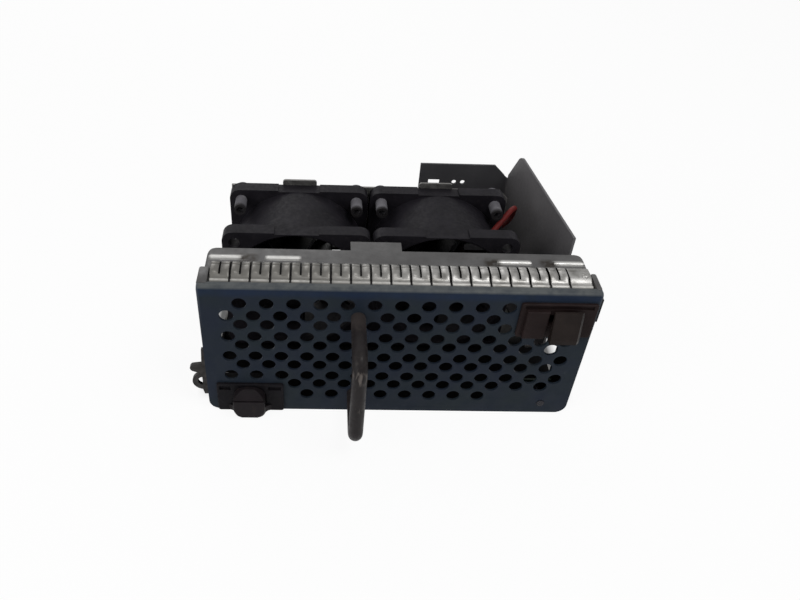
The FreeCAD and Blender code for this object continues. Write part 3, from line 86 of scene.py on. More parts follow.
# %% Start a finish
def start_finish(name, colour, roughness, metallic=0.0, specular=0.15):
    """A new material with one Principled shader."""
    finish = bpy.data.materials.new(name)
    finish.use_nodes = True
    shader = finish.node_tree.nodes["Principled BSDF"]
    shader.inputs["Base Color"].default_value = (*colour, 1)
    shader.inputs["Roughness"].default_value = roughness
    shader.inputs["Metallic"].default_value = metallic
    shader.inputs["Specular IOR Level"].default_value = specular
    return finish


def add_node(finish, kind, inputs=None, **settings):
    """Adds a shader node; inputs are numbers, colours or other nodes' outputs."""
    made = finish.node_tree.nodes.new(kind)
    for key, setting in settings.items():
        setattr(made, key, setting)
    for socket, content in (inputs or {}).items():
        if isinstance(content, bpy.types.NodeSocket):
            finish.node_tree.links.new(content, made.inputs[socket])
        else:
            made.inputs[socket].default_value = content
    return made


def drive(finish, socket, output):
    """Links an output to one of the shader's sockets."""
    shader = finish.node_tree.nodes["Principled BSDF"]
    finish.node_tree.links.new(output, shader.inputs[socket])


# %% [markdown]
# Noise stands for anything uneven: grain, dust, the flow of a moulding.  A band is 1 between two
# planes and 0 outside them, and it puts wear where hands and neighbours touch the part.


# %% Patterns
def coordinates(finish, stretch=(1, 1, 1)):
    """Object coordinates, scaled per axis for brushed or streaked grain."""
    place = add_node(finish, "ShaderNodeTexCoord").outputs["Object"]
    return add_node(finish, "ShaderNodeMapping", {"Vector": place, "Scale": stretch}).outputs[0]


def noise(finish, size, detail=3.0, stretch=(1, 1, 1)):
    """Noise whose features are about size millimetres across, from 0 to 1."""
    return add_node(finish, "ShaderNodeTexNoise", {
        "Vector": coordinates(finish, stretch), "Scale": 1 / (size * MM), "Detail": detail,
    }).outputs["Fac"]


def limits(finish, value, low, high, start=0.0, end=1.0):
    """Stretches low..high of a value to start..end and holds it there outside."""
    return add_node(finish, "ShaderNodeMapRange", {
        "Value": value, "From Min": low, "From Max": high, "To Min": start, "To Max": end,
    }).outputs[0]


def product(finish, one, two):
    """The product of two values."""
    return add_node(finish, "ShaderNodeMath", {0: one, 1: two}, operation="MULTIPLY").outputs[0]


def band(finish, axis, low, high, soft=0.4):
    """1 between two planes square to an axis, in millimetres, and 0 outside them."""
    place = add_node(finish, "ShaderNodeTexCoord").outputs["Object"]
    along = add_node(finish, "ShaderNodeSeparateXYZ", {"Vector": place}).outputs[axis]
    up = limits(finish, along, (low - soft) * MM, (low + soft) * MM)
    down = limits(finish, along, (high - soft) * MM, (high + soft) * MM, 1.0, 0.0)
    return product(finish, up, down)


def blend(finish, factor, one, two):
    """Mixes two colours by a factor."""
    colours = {6: one, 7: two}
    for socket, colour in colours.items():
        if not isinstance(colour, bpy.types.NodeSocket):
            colours[socket] = (*colour, 1)
    return add_node(finish, "ShaderNodeMix", {"Factor": factor, **colours},
                    data_type="RGBA").outputs[2]


def relief(finish, layers):
    """Bump from (value, depth in millimetres, strength) layers, the finest last."""
    normal = None
    for value, depth, strength in layers:
        inputs = {"Height": value, "Distance": depth * MM, "Strength": strength}
        if normal:
            inputs["Normal"] = normal
        normal = add_node(finish, "ShaderNodeBump", inputs).outputs["Normal"]
    drive(finish, "Normal", normal)


def shade(colour, factor):
    """A darker or lighter shade of a colour."""
    return tuple(min(part * factor, 1.0) for part in colour)


# %% [markdown]
# ## Navy powder coat
# The front plate is powder coated.  Powder melts into a skin with a fine orange peel, and it is
# thin and soon rubbed on the top bend, where a hand slides the module in.  There the grey steel
# shows through, and the same pale grey along the bend is also a painted highlight.  The blue is
# at its strongest just under the bend.  A noise of a few millimetres breaks both edges, so that
# the wear and the painted highlight have no ruled line.

# %% Front plate
plate_low, plate_high = (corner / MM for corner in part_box("faceplate"))
NAVY, GREY_NAVY = (0.0108, 0.0157, 0.0268), (0.0116, 0.0174, 0.0232)
STRONG_BLUE = (0.0085, 0.0190, 0.0480)
BARE_AND_LIT_BEND, BARE_CORNER, SCUFFED = (0.082, 0.088, 0.090), (0.062, 0.072, 0.088), (0.045, 0.055, 0.07)


def powder_coat():
    """Textured dark blue powder, worn to the metal and carrying a painted highlight along the top
    bend, and worn at its two ends.
    """
    finish = start_finish("navy_powder_coat", (0.011, 0.017, 0.026), 0.5, specular=0.1)
    paint = blend(finish, limits(finish, noise(finish, 16), 0.35, 0.65), NAVY, GREY_NAVY)
    # A stronger blue band just under the bend.
    fresh = band(finish, "Z", plate_high.z - 3.2, plate_high.z - 1.2, 1.6)
    fresh = product(finish, fresh, limits(finish, noise(finish, 9), 0.3, 0.6, 0.5))
    paint = blend(finish, fresh, paint, STRONG_BLUE)
    patches = limits(finish, noise(finish, 3.5, 5), 0.32, 0.62, 0.55)
    # Bare steel on the top bend, which is also a painted highlight there.
    bend = product(finish, band(finish, "Z", plate_high.z - 0.75, plate_high.z + 9), patches)
    paint = blend(finish, bend, paint, BARE_AND_LIT_BEND)
    for low, high in ((plate_low.x - 9, plate_low.x + 0.5), (plate_high.x - 0.5, plate_high.x + 9)):
        rubbed = product(finish, band(finish, "X", low, high),
                         band(finish, "Z", plate_high.z - 14, plate_high.z + 9, 6))
        paint = blend(finish, product(finish, rubbed, patches), paint, BARE_CORNER)
    scuffs = limits(finish, noise(finish, 1.8, 6, (1, 1, 0.35)), 0.66, 0.8, 0.0, 0.3)
    drive(finish, "Base Color", blend(finish, scuffs, paint, SCUFFED))
    drive(finish, "Roughness", limits(finish, noise(finish, 5), 0.3, 0.7, 0.42, 0.62))
    relief(finish, [(noise(finish, 7), 0.08, 0.25), (noise(finish, 0.4), 0.03, 0.5)])
    return finish


FINISHES = {"navy_powder_coat": powder_coat()}
print("front plate, mm:", [round(side, 1) for side in plate_high - plate_low])

# %% [markdown]
# ## Plated sheet
# Zinc-plated steel is grey and a little cloudy, with a drawn grain.  It is a metal, so its colour
# is what it mirrors times a grey: a white room makes a bright grey sheet white, and old zinc is
# darker than it feels.  Where dust lies, and where painted shade darkens the inside of the module,
# the sheet is dull and dark and mirrors nothing.


# %% Zinc
DUST_AND_SHADE = (0.0045, 0.0044, 0.0048)


def zinc(name, grey, roughness=0.42, dust_and_shade_bands=None):
    """Zinc-plated sheet and its tone; dust and painted shade lie where all of its (axis, low, high,
    soft) meet.
    """
    finish = start_finish(name, grey, roughness, metallic=0.9, specular=0.04)
    cloud = noise(finish, 11, 4)
    streaks = noise(finish, 0.8)
    tone = blend(finish, limits(finish, cloud, 0.3, 0.7), shade(grey, 0.78), shade(grey, 1.2))
    tone = blend(finish, limits(finish, streaks, 0.55, 0.8, 0.0, 0.4), tone, shade(grey, 0.5))
    rough = limits(finish, noise(finish, 3, 4), 0.3, 0.7, roughness - 0.08, roughness + 0.14)
    # Dust and painted shade: the sheet is darkened where all the bands meet.
    if dust_and_shade_bands:
        dust_and_shade = 1.0
        for limit in dust_and_shade_bands:
            dust_and_shade = product(finish, dust_and_shade, band(finish, *limit))
        tone = blend(finish, dust_and_shade, tone, DUST_AND_SHADE)
        rough = add_node(finish, "ShaderNodeMath", {0: rough, 1: product(finish, dust_and_shade, 0.9)},
                         operation="MAXIMUM").outputs[0]
        drive(finish, "Metallic", limits(finish, dust_and_shade, 0, 1, 0.9, 0.0))
    drive(finish, "Roughness", rough)
    relief(finish, [(cloud, 0.15, 0.3), (streaks, 0.02, 0.35)])
    return finish, tone


fan_plate_zinc, fan_plate_tone = zinc("fan_plate_steel", (0.155, 0.152, 0.148), 0.46)
drive(fan_plate_zinc, "Base Color", fan_plate_tone)
FINISHES["fan_plate_steel"] = fan_plate_zinc
print("zinc:", fan_plate_zinc.name)

# %% [markdown]
# The collar carries the shielding strip.  Where the strip lies, the sheet is painted dark as
# painted shade, which is what makes the slits between the fingers read as black lines.  The
# crests of its pressed beads carry a painted highlight, and the spot welds beside them have burnt
# brown.

# %% Collar
collar_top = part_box("front_collar")[1].z / MM
strip_low, strip_high = (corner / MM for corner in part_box("emi_gasket"))
BEAD_Y = 19.6
BEADS_X = ((-72.0, -59.3), (-50.6, -37.1), (38.0, 51.5), (60.1, 72.0))
WELDS_X = (-57.0, 36.5, 58.0)
CREST_HIGHLIGHT, BURNT = (0.50, 0.495, 0.48), (0.026, 0.022, 0.018)


def collar_zinc():
    """The collar's zinc: dust and painted shade inside, painted shade under the strip, a painted
    highlight on its beads' crests.
    """
    grey = (0.086, 0.0845, 0.0845)
    finish, tone = zinc("plated_steel", grey, dust_and_shade_bands=[("X", -72.7, 72.7, 0.05),
                                                     ("Z", 0, collar_top - 1.1, 0.05)])
    # Painted shade under the strip.
    shade_under_strip = product(finish, band(finish, "Y", strip_low.y + 0.9, strip_high.y - 0.2),
                    band(finish, "X", strip_low.x, strip_high.x))
    tone = blend(finish, shade_under_strip, tone, shade(grey, 0.12))
    # Painted highlight along the beads' crests.
    roof = product(finish, band(finish, "Z", collar_top - 0.9, collar_top + 3, 0.1),
                   band(finish, "Y", BEAD_Y - 1.15, BEAD_Y + 1.25, 0.75))
    for low, high in BEADS_X:
        lit_crest = product(finish, roof, band(finish, "X", low + 0.3, high - 0.3, 0.7))
        tone = blend(finish, lit_crest, tone, CREST_HIGHLIGHT)
    smudge = limits(finish, noise(finish, 2.2, 5), 0.36, 0.58, 0.35)
    for weld_x in WELDS_X:
        spot = product(finish, band(finish, "X", weld_x - 3.0, weld_x + 3.0, 1.2),
                       band(finish, "Y", BEAD_Y - 3.2, BEAD_Y + 2.0, 1.2))
        tone = blend(finish, product(finish, spot, smudge), tone, BURNT)
    drive(finish, "Base Color", tone)
    return finish


FINISHES["plated_steel"] = collar_zinc()
print("burnished beads:", len(BEADS_X))

# %% [markdown]
# The tray is the same sheet.  Its floor is darkened inside, partly by the dust that the air drawn
# through the module leaves and partly as painted shade, most of it in front of the fans.  Three
# bands keep it there: between the side walls, above the floor's underside, and from the front
# plate to where it fades out under the fans.


# %% Tray
def tray_zinc():
    """The tray's zinc, with dust and painted shade on the floor's inner face."""
    grey = (0.135, 0.133, 0.130)
    finish, tone = zinc("tray_steel", grey, dust_and_shade_bands=[("X", -73.1, 73.1, 0.05), ("Z", 0.8, 20, 0.05),
                                                   ("Y", -20, 50, 9)])
    drive(finish, "Base Color", tone)
    return finish


FINISHES["tray_steel"] = tray_zinc()
print("zinc:", FINISHES["tray_steel"].name)

# %% [markdown]
# ## Spring strip
# The shielding strip is thin stainless spring sheet, rolled bright.  It is smoother than zinc, so
# lamps draw narrow bands along its arches.  Its colour is lighter, and it is duller and a little
# warm where skin has touched it, and darker towards its left end.  Painted shade darkens its front
# edge under the lip and its foot, and a painted highlight runs along the lip.


# %% Strip
STAIN, LIP_HIGHLIGHT = (0.134, 0.129, 0.119), (0.42, 0.41, 0.39)


def spring_sheet():
    """Rolled spring steel: painted shade at its front edge and foot, a painted highlight along the
    lip.
    """
    grey = (0.28, 0.275, 0.266)
    finish = start_finish("spring_steel", grey, 0.28, metallic=1.0, specular=0.5)
    stain = limits(finish, noise(finish, 5, 4), 0.4, 0.7)
    # The strip is made darker towards its left end.
    left_end = band(finish, "X", strip_low.x - 40, 0, 30)
    stain = add_node(finish, "ShaderNodeMath", {0: stain, 1: left_end},
                     operation="MAXIMUM").outputs[0]
    rolled = noise(finish, 0.7, 3, (0.25, 1, 1))
    tone = blend(finish, stain, shade(grey, 1.15), STAIN)
    tone = blend(finish, limits(finish, rolled, 0.5, 0.8, 0.0, 0.5), tone, shade(grey, 0.5))
    # Painted shade at the foot, where the strip meets the collar.
    foot = band(finish, "Y", strip_high.y - 2.4, strip_high.y + 5, 0.8)
    tone = blend(finish, foot, tone, shade(grey, 0.45))
    # Painted shade under the lip at the front edge.
    edge = band(finish, "Y", strip_low.y - 3, strip_low.y + 1.0, 0.35)
    tone = blend(finish, edge, tone, shade(grey, 0.3))
    # Painted highlight along the lip.
    lip = product(finish, band(finish, "Y", strip_low.y + 1.5, strip_low.y + 2.2, 0.3),
                  limits(finish, noise(finish, 4), 0.35, 0.65, 0.35))
    drive(finish, "Base Color", blend(finish, lip, tone, LIP_HIGHLIGHT))
    drive(finish, "Roughness", limits(finish, noise(finish, 2), 0.3, 0.7, 0.31, 0.45))
    relief(finish, [(noise(finish, 3), 0.10, 0.2), (rolled, 0.012, 0.2)])
    return finish


FINISHES["spring_steel"] = spring_sheet()
print("spring strip, mm:", [round(side, 1) for side in strip_high - strip_low])

# %% [markdown]
# ## Small metal parts
# Rivets, screws, pawls and the parts inside the fans are turned, ground, sintered or wound.  One
# recipe does for all of them: a metal of its own colour, with a fine grain and some tarnish.


# %% Turned and ground metals
def turned(name, colour, roughness, metallic=1.0):
    """A small metal part with fine tool lines and patches of tarnish."""
    finish = start_finish(name, colour, roughness, metallic, 0.4)
    lines = noise(finish, 0.6)
    tarnish = limits(finish, noise(finish, 2.5, 4), 0.35, 0.7)
    tone = blend(finish, tarnish, shade(colour, 1.15), shade(colour, 0.6))
    drive(finish, "Base Color", tone)
    drive(finish, "Roughness", limits(finish, lines, 0.2, 0.8, max(roughness - 0.08, 0.05),
                                      roughness + 0.14))
    relief(finish, [(lines, 0.015, 0.4)])
    return finish


# Each metal's colour and roughness.
TURNED = {
    "rivet_steel": ((0.24, 0.24, 0.235), 0.38),
    "screw_steel": ((0.34, 0.34, 0.34), 0.3),
    "pawl_steel": ((0.040, 0.038, 0.037), 0.42),
    "shaft_steel": ((0.5, 0.5, 0.5), 0.2),
    "bearing_steel": ((0.5, 0.5, 0.51), 0.16),
    "standoff_brass": ((0.5, 0.34, 0.12), 0.32),
    "contact_plating": ((0.7, 0.48, 0.18), 0.24),
    "stator_copper": ((0.42, 0.18, 0.08), 0.36),
}
for name, (colour, roughness) in TURNED.items():
    FINISHES[name] = turned(name, colour, roughness)
FINISHES["magnet_ferrite"] = turned("magnet_ferrite", (0.05, 0.05, 0.055), 0.6, 0.3)
print("metals:", len(TURNED) + 1)

# %% [markdown]
# ## Mouldings and rubber
# Black mouldings are glass-filled nylon and the like: nearly black, with an eroded grain and a
# grey bloom where they have been handled.  Each has its own black, its own grain and its own
# worn tone, so they come from one table.  The right latch has browned, as old nylon does.  The
# pale header, the ceramics, the red lead and the grey mounts follow the same recipe.


# %% Moulded plastics
def moulded(name, colour, worn, roughness=0.5, grain=0.3, specular=0.1, right=None):
    """A moulding in one colour, or in another one on the right half of the module."""
    finish = start_finish(name, colour, roughness, specular=specular)
    flow = limits(finish, noise(finish, 8, 4), 0.3, 0.7)
    tone = blend(finish, flow, shade(colour, 0.75), shade(colour, 1.3))
    if right:
        tone = blend(finish, band(finish, "X", 0, 90), tone,
                     blend(finish, flow, shade(right, 0.8), shade(right, 1.25)))
    bloom = limits(finish, noise(finish, 2.4, 6), 0.56, 0.74, 0.0, 0.5)
    drive(finish, "Base Color", blend(finish, bloom, tone, worn))
    drive(finish, "Roughness", limits(finish, noise(finish, 1.5), 0.3, 0.7, roughness - 0.08,
                                      roughness + 0.12))
    relief(finish, [(noise(finish, 6), 0.06, 0.2), (noise(finish, grain), 0.03, 0.45)])
    return finish


# Colour, worn tone, roughness, grain in millimetres, specular, and the colour at the right.
MOULDED = {
    "fan_plastic": ((0.0092, 0.0084, 0.0106), (0.020, 0.017, 0.020), 0.5, 0.35, 0.06),
    "impeller_plastic": ((0.006, 0.006, 0.007), (0.012, 0.012, 0.013), 0.42, 0.3, 0.05),
    "handle_plastic": ((0.0150, 0.0128, 0.0132), (0.040, 0.034, 0.031), 0.42, 0.5),
    "latch_plastic": ((0.0058, 0.0052, 0.0066), (0.014, 0.011, 0.010), 0.5, 0.3, 0.06,
                      (0.0146, 0.0094, 0.0092)),
    "thumb_plastic": ((0.0090, 0.0070, 0.0082), (0.022, 0.016, 0.014), 0.45, 0.3, 0.08,
                      (0.0135, 0.0098, 0.0088)),
    "connector_plastic": ((0.012, 0.012, 0.013), (0.02, 0.02, 0.02), 0.45, 0.3),
    "pawl_black": ((0.013, 0.013, 0.014), (0.03, 0.03, 0.03), 0.5, 0.4),
    "header_plastic": ((0.62, 0.58, 0.48), (0.5, 0.45, 0.35), 0.5, 0.3),
    "ceramic": ((0.36, 0.27, 0.18), (0.24, 0.18, 0.12), 0.4, 0.2),
    "red_insulation": ((0.10, 0.012, 0.011), (0.04, 0.010, 0.010), 0.5, 0.4),
    "grey_rubber": ((0.105, 0.102, 0.112), (0.19, 0.185, 0.195), 0.6, 0.4),
}
for name, recipe in MOULDED.items():
    FINISHES[name] = moulded(name, *recipe)
print("mouldings:", len(MOULDED))

# %% [markdown]
# The handle is touched more than anything else.  Its front has small pale painted highlights where
# fingers close round it, and its upper bend is painted a little grey as painted light from above.
# They are laid over the moulding's own tone.


# %% Painted highlights on the handle
GLINTS_Z = ((43.5, 49.5), (29, 31))
GLINT, LIT_BEND = (0.13, 0.115, 0.105), (0.06, 0.05, 0.046)


def tone_of(finish):
    """What feeds a finish's colour so far."""
    return finish.node_tree.nodes["Principled BSDF"].inputs["Base Color"].links[0].from_socket


def paint_handle_glints(finish):
    """Pale painted highlights on the handle's front and painted light on its upper bend."""
    tone = tone_of(finish)
    # Painted highlights on the front.
    specks = limits(finish, noise(finish, 2.2, 4, (1.6, 1, 0.4)), 0.52, 0.68, 0.0, 0.75)
    for low, high in GLINTS_Z:
        worn = product(finish, product(finish, specks, band(finish, "Y", -30, -22, 2)),
                       band(finish, "Z", low, high, 1))
        tone = blend(finish, worn, tone, GLINT)
    # Painted light on the upper bend.
    bend = product(finish, band(finish, "Y", -8, 1, 2.5), band(finish, "Z", 50, 60, 2))
    drive(finish, "Base Color", blend(finish, product(finish, bend, 0.35), tone, LIT_BEND))


paint_handle_glints(FINISHES["handle_plastic"])
print("worn stretches of the handle:", len(GLINTS_Z) + 1)

# %% [markdown]
# Each rubber mount is pulled through the fan's flange by its long end.  A band at the front of the
# mounts paints that end dark, as painted shade.


# %% Dark ends of the rubber mounts
mount_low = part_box("fan_1_isolators")[0] / MM
DARK_END, PAINTED_END_SHADE = 1.6, (0.012, 0.011, 0.012)


def darken_ends(finish):
    """Paints shade on the mounts' pulled ends."""
    ends = band(finish, "Y", mount_low.y - 5, mount_low.y + DARK_END, 0.8)
    drive(finish, "Base Color", blend(finish, ends, tone_of(finish), PAINTED_END_SHADE))


darken_ends(FINISHES["grey_rubber"])
print("dark end of a mount, mm:", DARK_END)

# %% [markdown]
# The bracket is steel with a thin black coat.  Its side wall is painted paler as painted light,
# most of all towards the top, and painted shade keeps it dark low down beside the fan.


# %% Coated bracket
bracket_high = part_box("connector_bracket")[1] / MM
BLACK_COAT, GREY_COAT = (0.047, 0.046, 0.050), (0.060, 0.059, 0.063)
LIT_WALL, SHADED_WALL = (0.105, 0.101, 0.105), (0.062, 0.059, 0.060)


def coated_steel():
    """Thin black coat; the side wall is everything in front of the bracket's rear sheet."""
    finish = start_finish("black_coated_steel", (0.053, 0.052, 0.056), 0.46, specular=0.12)
    cloud = limits(finish, noise(finish, 14, 3), 0.3, 0.7)
    tone = blend(finish, cloud, BLACK_COAT, GREY_COAT)
    side = band(finish, "Y", 20, bracket_high.y - 1.6, 0.4)
    # Painted light on the side wall.
    tone = blend(finish, product(finish, side, limits(finish, cloud, 0, 1, 0.8)), tone, LIT_WALL)
    # Painted shade low down beside the fan.
    low_down = product(finish, side, band(finish, "Z", -20, 34, 14))
    drive(finish, "Base Color", blend(finish, product(finish, low_down, 0.7), tone, SHADED_WALL))
    drive(finish, "Roughness", limits(finish, noise(finish, 1.5), 0.3, 0.7, 0.4, 0.58))
    relief(finish, [(noise(finish, 9), 0.10, 0.2), (noise(finish, 0.4), 0.02, 0.4)])
    return finish


FINISHES["black_coated_steel"] = coated_steel()
print("bracket's height, mm:", round(bracket_high.z, 1))

# %% [markdown]
# ## Board and light pipe
# The boards are glass epoxy under a green mask, and copper tracks show as faint lines beneath it.
# A brick pattern with thin joints makes believable tracks, and dust darkens the board's foot.

# %% Solder mask
mask = start_finish("circuit_board", (0.005, 0.026, 0.012), 0.35, specular=0.2)
tracks = add_node(mask, "ShaderNodeTexBrick", {
    "Vector": coordinates(mask, (1, 0, 1)), "Scale": 140.0, "Mortar Size": 0.018,
    "Color1": (0.004, 0.022, 0.011, 1), "Color2": (0.006, 0.030, 0.014, 1),
    "Mortar": (0.012, 0.055, 0.023, 1)})
board_low, board_high = (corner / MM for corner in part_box("control_board"))
foot = band(mask, "Z", board_low.z - 5, board_low.z + 4, 2)
drive(mask, "Base Color", blend(mask, foot, tracks.outputs["Color"], (0.004, 0.004, 0.004)))
drive(mask, "Roughness", limits(mask, noise(mask, 1.2), 0.3, 0.7, 0.28, 0.45))
relief(mask, [(tracks.outputs["Fac"], 0.02, 0.5)])
FINISHES["circuit_board"] = mask
print("control board, mm:", [round(side, 1) for side in board_high - board_low])

# %% [markdown]
# The light pipe is clear plastic, and its faces are lightly frosted so that they glow evenly.
# Unlit, with a dark board behind it, it looks nearly black.

# %% Clear light pipe
pipe = start_finish("light_pipe_clear", (0.018, 0.017, 0.024), 0.3, specular=0.1)
pipe.node_tree.nodes["Principled BSDF"].inputs["Transmission Weight"].default_value = 0.3
drive(pipe, "Roughness", limits(pipe, noise(pipe, 0.8), 0.3, 0.7, 0.15, 0.38))
relief(pipe, [(noise(pipe, 0.5), 0.01, 0.4)])
FINISHES["light_pipe_clear"] = pipe
print("clear:", pipe.name)

# %% [markdown]
# ## Dressing the nodes
# The frame's record names a slot of finish for every node.  A node keeps its shape, and only the
# material in its slots is exchanged.

# %% Give every node its finish
for entry in frame["record"]["subparts"]:
    for slot in nodes[entry["node"]].material_slots:
        slot.material = FINISHES[entry["material_slot"]]
print("finishes:", len(FINISHES))

# %% [markdown]
# ## Mesh helpers
# A finished piece keeps its place in its mesh, and its object stays at the origin.  These two
# helpers make the object, give it its finish and let it ride on the module.


# %% Finish a mesh
def place_piece(bm, name, slot, finish=None, replaces=()):
    """Turns a bmesh into a smooth piece that rides on the module."""
    mesh = bpy.data.meshes.new(name)
    bm.to_mesh(mesh)
    bm.free()
    mesh.materials.append(FINISHES[finish or slot])
    mesh.shade_smooth()
    piece = bpy.data.objects.new(name, mesh)
    bpy.context.collection.objects.link(piece)
    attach(piece, "module")
    if replaces:
        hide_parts(*replaces)
    print(name, "has", len(mesh.polygons), "faces")
    return piece


def finish_piece(bm, name, slot, sharp=40, **options):
    """The same for closed forms: doubles merged, faces outwards, edges sharp past an angle."""
    bmesh.ops.remove_doubles(bm, verts=bm.verts, dist=1e-7)
    bmesh.ops.recalc_face_normals(bm, faces=bm.faces)
    piece = place_piece(bm, name, slot, **options)
    piece.data.set_sharp_from_angle(angle=math.radians(sharp))
    return piece


# %% [markdown]
# Two shapes do for nearly everything here: an outline that is spun about an axis, and a box with
# rounded edges.


# %% Turned solids and blocks
def move_new(bm, before, place, axis=(0, 0, 1)):
    """Turns and moves the corners made since `before`, so that their Z runs along an axis."""
    fresh = [vert for vert in bm.verts if vert not in before]
    turn = Vector(axis).to_track_quat("Z", "Y").to_matrix().to_4x4()
    matrix = Matrix.Translation(Vector(place) * MM) @ turn @ Matrix.Scale(MM, 4)
    bmesh.ops.transform(bm, matrix=matrix, verts=fresh)


def revolve(bm, outline, place, axis=(0, 0, 1), steps=24):
    """Spins an outline of (radius, height) points, in millimetres, into a turned solid."""
    before = set(bm.verts)
    spots = [bm.verts.new((radius, 0, height)) for radius, height in outline]
    edges = [bm.edges.new(pair) for pair in zip(spots, spots[1:])]
    bmesh.ops.spin(bm, geom=spots + edges, cent=(0, 0, 0), axis=(0, 0, 1), dvec=(0, 0, 0),
                   angle=2 * math.pi, steps=steps, use_merge=True)
    fresh = [vert for vert in bm.verts if vert not in before]
    bmesh.ops.remove_doubles(bm, verts=fresh, dist=1e-5)
    move_new(bm, before, place, axis)


def block(bm, low, high, bevel=0.0):
    """A box between two corners in millimetres, with rounded edges."""
    low, high = Vector(low) * MM, Vector(high) * MM
    matrix = Matrix.Translation((low + high) / 2) @ Matrix.Diagonal((*(high - low), 1))
    corners = bmesh.ops.create_cube(bm, size=1, matrix=matrix)["verts"]
    if bevel:
        edges = list({edge for corner in corners for edge in corner.link_edges})
        bmesh.ops.bevel(bm, geom=edges, offset=bevel * MM, affect="EDGES", segments=2,
                        profile=0.5, material=-1, clamp_overlap=True)


# %% [markdown]
# Fasteners that are alike share one node.  To set a detailed one in the place of each, the node's
# mesh is taken apart into the corners that hang together, and each group's box is kept.


# %% Solids that share a node
def solids_of(node):
    """The boxes, in millimetres, of the separate solids that share a node."""
    bm = bmesh.new()
    bm.from_mesh(nodes[node].data)
    bmesh.ops.remove_doubles(bm, verts=bm.verts, dist=1e-7)
    waiting, boxes = set(bm.verts), []
    while waiting:
        reached, group = [waiting.pop()], []
        while reached:
            vert = reached.pop()
            group.append(vert.co / MM)
            near = {edge.other_vert(vert) for edge in vert.link_edges} & waiting
            waiting -= near
            reached.extend(near)
        boxes.append((Vector(map(min, zip(*group))), Vector(map(max, zip(*group)))))
    bm.free()
    return sorted(boxes, key=lambda pair: tuple(pair[0]))


# %% [markdown]
# ## Contact fingers
# A shielding strip is stamped from one thin sheet, slit and rolled into an arch, and clipped over
# the edge of the collar.  Each segment is slit once more from the rear, so that two fingers press
# on the rack's frame.  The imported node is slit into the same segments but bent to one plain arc,
# and its box gives the strip's pitch, depth and rise.

# %% Strip dimensions
SEGMENTS = 19
SLIT = 0.72             # between two fingers and between two segments, mm
GAUGE = 0.22            # of the sheet, mm
SLIT_REACH = 0.31       # where the slit ends, as a share of the depth
EDGE, DROOP = 0.4, 0.1  # the outer edges of a segment are rolled down, mm
END_REACH = 1.2         # how far the last segment runs on past the node's end, mm
END_SUNK = 0.2          # how much lower the last segment stands, as a share of the rise
MARGIN = 0.1            # in front of the arch and behind it, mm
HEADROOM = 0.25         # from the arch's crest to the top of the node's box, mm
pitch = (strip_high.x - strip_low.x) / SEGMENTS
depth = strip_high.y - strip_low.y - 2 * MARGIN
rise = strip_high.z - strip_low.z - HEADROOM
# The arch from front to rear, as shares of the depth and the rise.
ARCH = [(0.0, 0.03), (0.05, 0.04), (0.10, 0.09), (0.125, 0.20), (0.155, 0.24), (0.19, 0.18),
        (0.23, 0.22), (0.27, 0.36), (0.32, 0.58), (0.37, 0.79), (0.42, 0.93), (0.48, 1.0),
        (0.60, 1.0), (0.68, 0.98), (0.70, 0.90), (0.72, 0.97), (0.80, 0.92), (0.86, 0.78),
        (0.905, 0.54), (0.94, 0.28), (0.965, 0.17), (1.0, 0.14)]
print("strip segment, mm:", round(pitch, 2))

# %% [markdown]
# A segment is drawn as one line across the arch and extruded sideways in five steps.  The middle
# step is the slit: its faces are taken out from the arch's front slope to the rear.


# %% One segment
def add_segment(bm, left, right, sunk, tilt, slit=True):
    """Adds one arched segment between two x places, in millimetres, sunk by a share of the rise."""
    middle = (left + right) / 2
    stations = [left, left + EDGE, middle - SLIT / 2, middle + SLIT / 2, right - EDGE, right]
    droop = [DROOP, 0, 0, 0, 0, DROOP]
    line = [bm.verts.new((left, y, z)) for y, z in ARCH]
    edges = [bm.edges.new(pair) for pair in zip(line, line[1:])]
    columns, faces = [line], []
    for before, after in zip(stations, stations[1:]):
        made = bmesh.ops.extrude_edge_only(bm, edges=edges)["geom"]
        line = [item for item in made if isinstance(item, bmesh.types.BMVert)]
        edges = [item for item in made if isinstance(item, bmesh.types.BMEdge)
                 and all(vert in line for vert in item.verts)]
        faces.append([item for item in made if isinstance(item, bmesh.types.BMFace)])
        bmesh.ops.translate(bm, verts=line, vec=(after - before, 0, 0))
        columns.append(line)
    for column, x, sag in zip(columns, stations, droop):
        for vert in column:
            y, z = vert.co.y, vert.co.z
            lean = tilt * (x - middle) / (right - middle)
            height = strip_low.z + rise * z * (1 - sunk) + z * (lean - sag)
            vert.co = (x, strip_low.y + MARGIN + depth * y, height)
    if slit:
        cut = [face for face in faces[2]
               if face.calc_center_median().y > strip_low.y + depth * SLIT_REACH]
        bmesh.ops.delete(bm, geom=cut, context="FACES")


# %% [markdown]
# In use every segment takes its own set, so each one stands a little differently.  The sheet is
# open, so no inside says which way its faces should point: those that look down are turned over
# before a Solidify modifier gives the gauge.

# %% The whole strip
LOWEST, MOST_TILT = 0.09, 0.07      # a segment's set: a share of the rise, and a lean
random.seed(7)
bm = bmesh.new()
for segment in range(SEGMENTS):
    left = strip_low.x + segment * pitch + (SLIT / 2 if segment else 0)
    right = strip_low.x + (segment + 1) * pitch - (SLIT / 2 if segment < SEGMENTS - 1 else 0)
    sunk, tilt = random.uniform(0, LOWEST), random.uniform(-MOST_TILT, MOST_TILT)
    if segment < SEGMENTS - 1:
        add_segment(bm, left, right, sunk, tilt)
    else:
        add_segment(bm, left, right + END_REACH, END_SUNK, 0, slit=False)
bmesh.ops.recalc_face_normals(bm, faces=bm.faces)
for face in bm.faces:
    face.normal_update()
upside_down = [face for face in bm.faces if face.normal.dot((0, -0.3, 1)) < 0]
bmesh.ops.reverse_faces(bm, faces=upside_down)
bmesh.ops.scale(bm, vec=(MM, MM, MM), verts=bm.verts)
fingers = place_piece(bm, "contact_fingers", "spring_steel", replaces=["emi_gasket"])
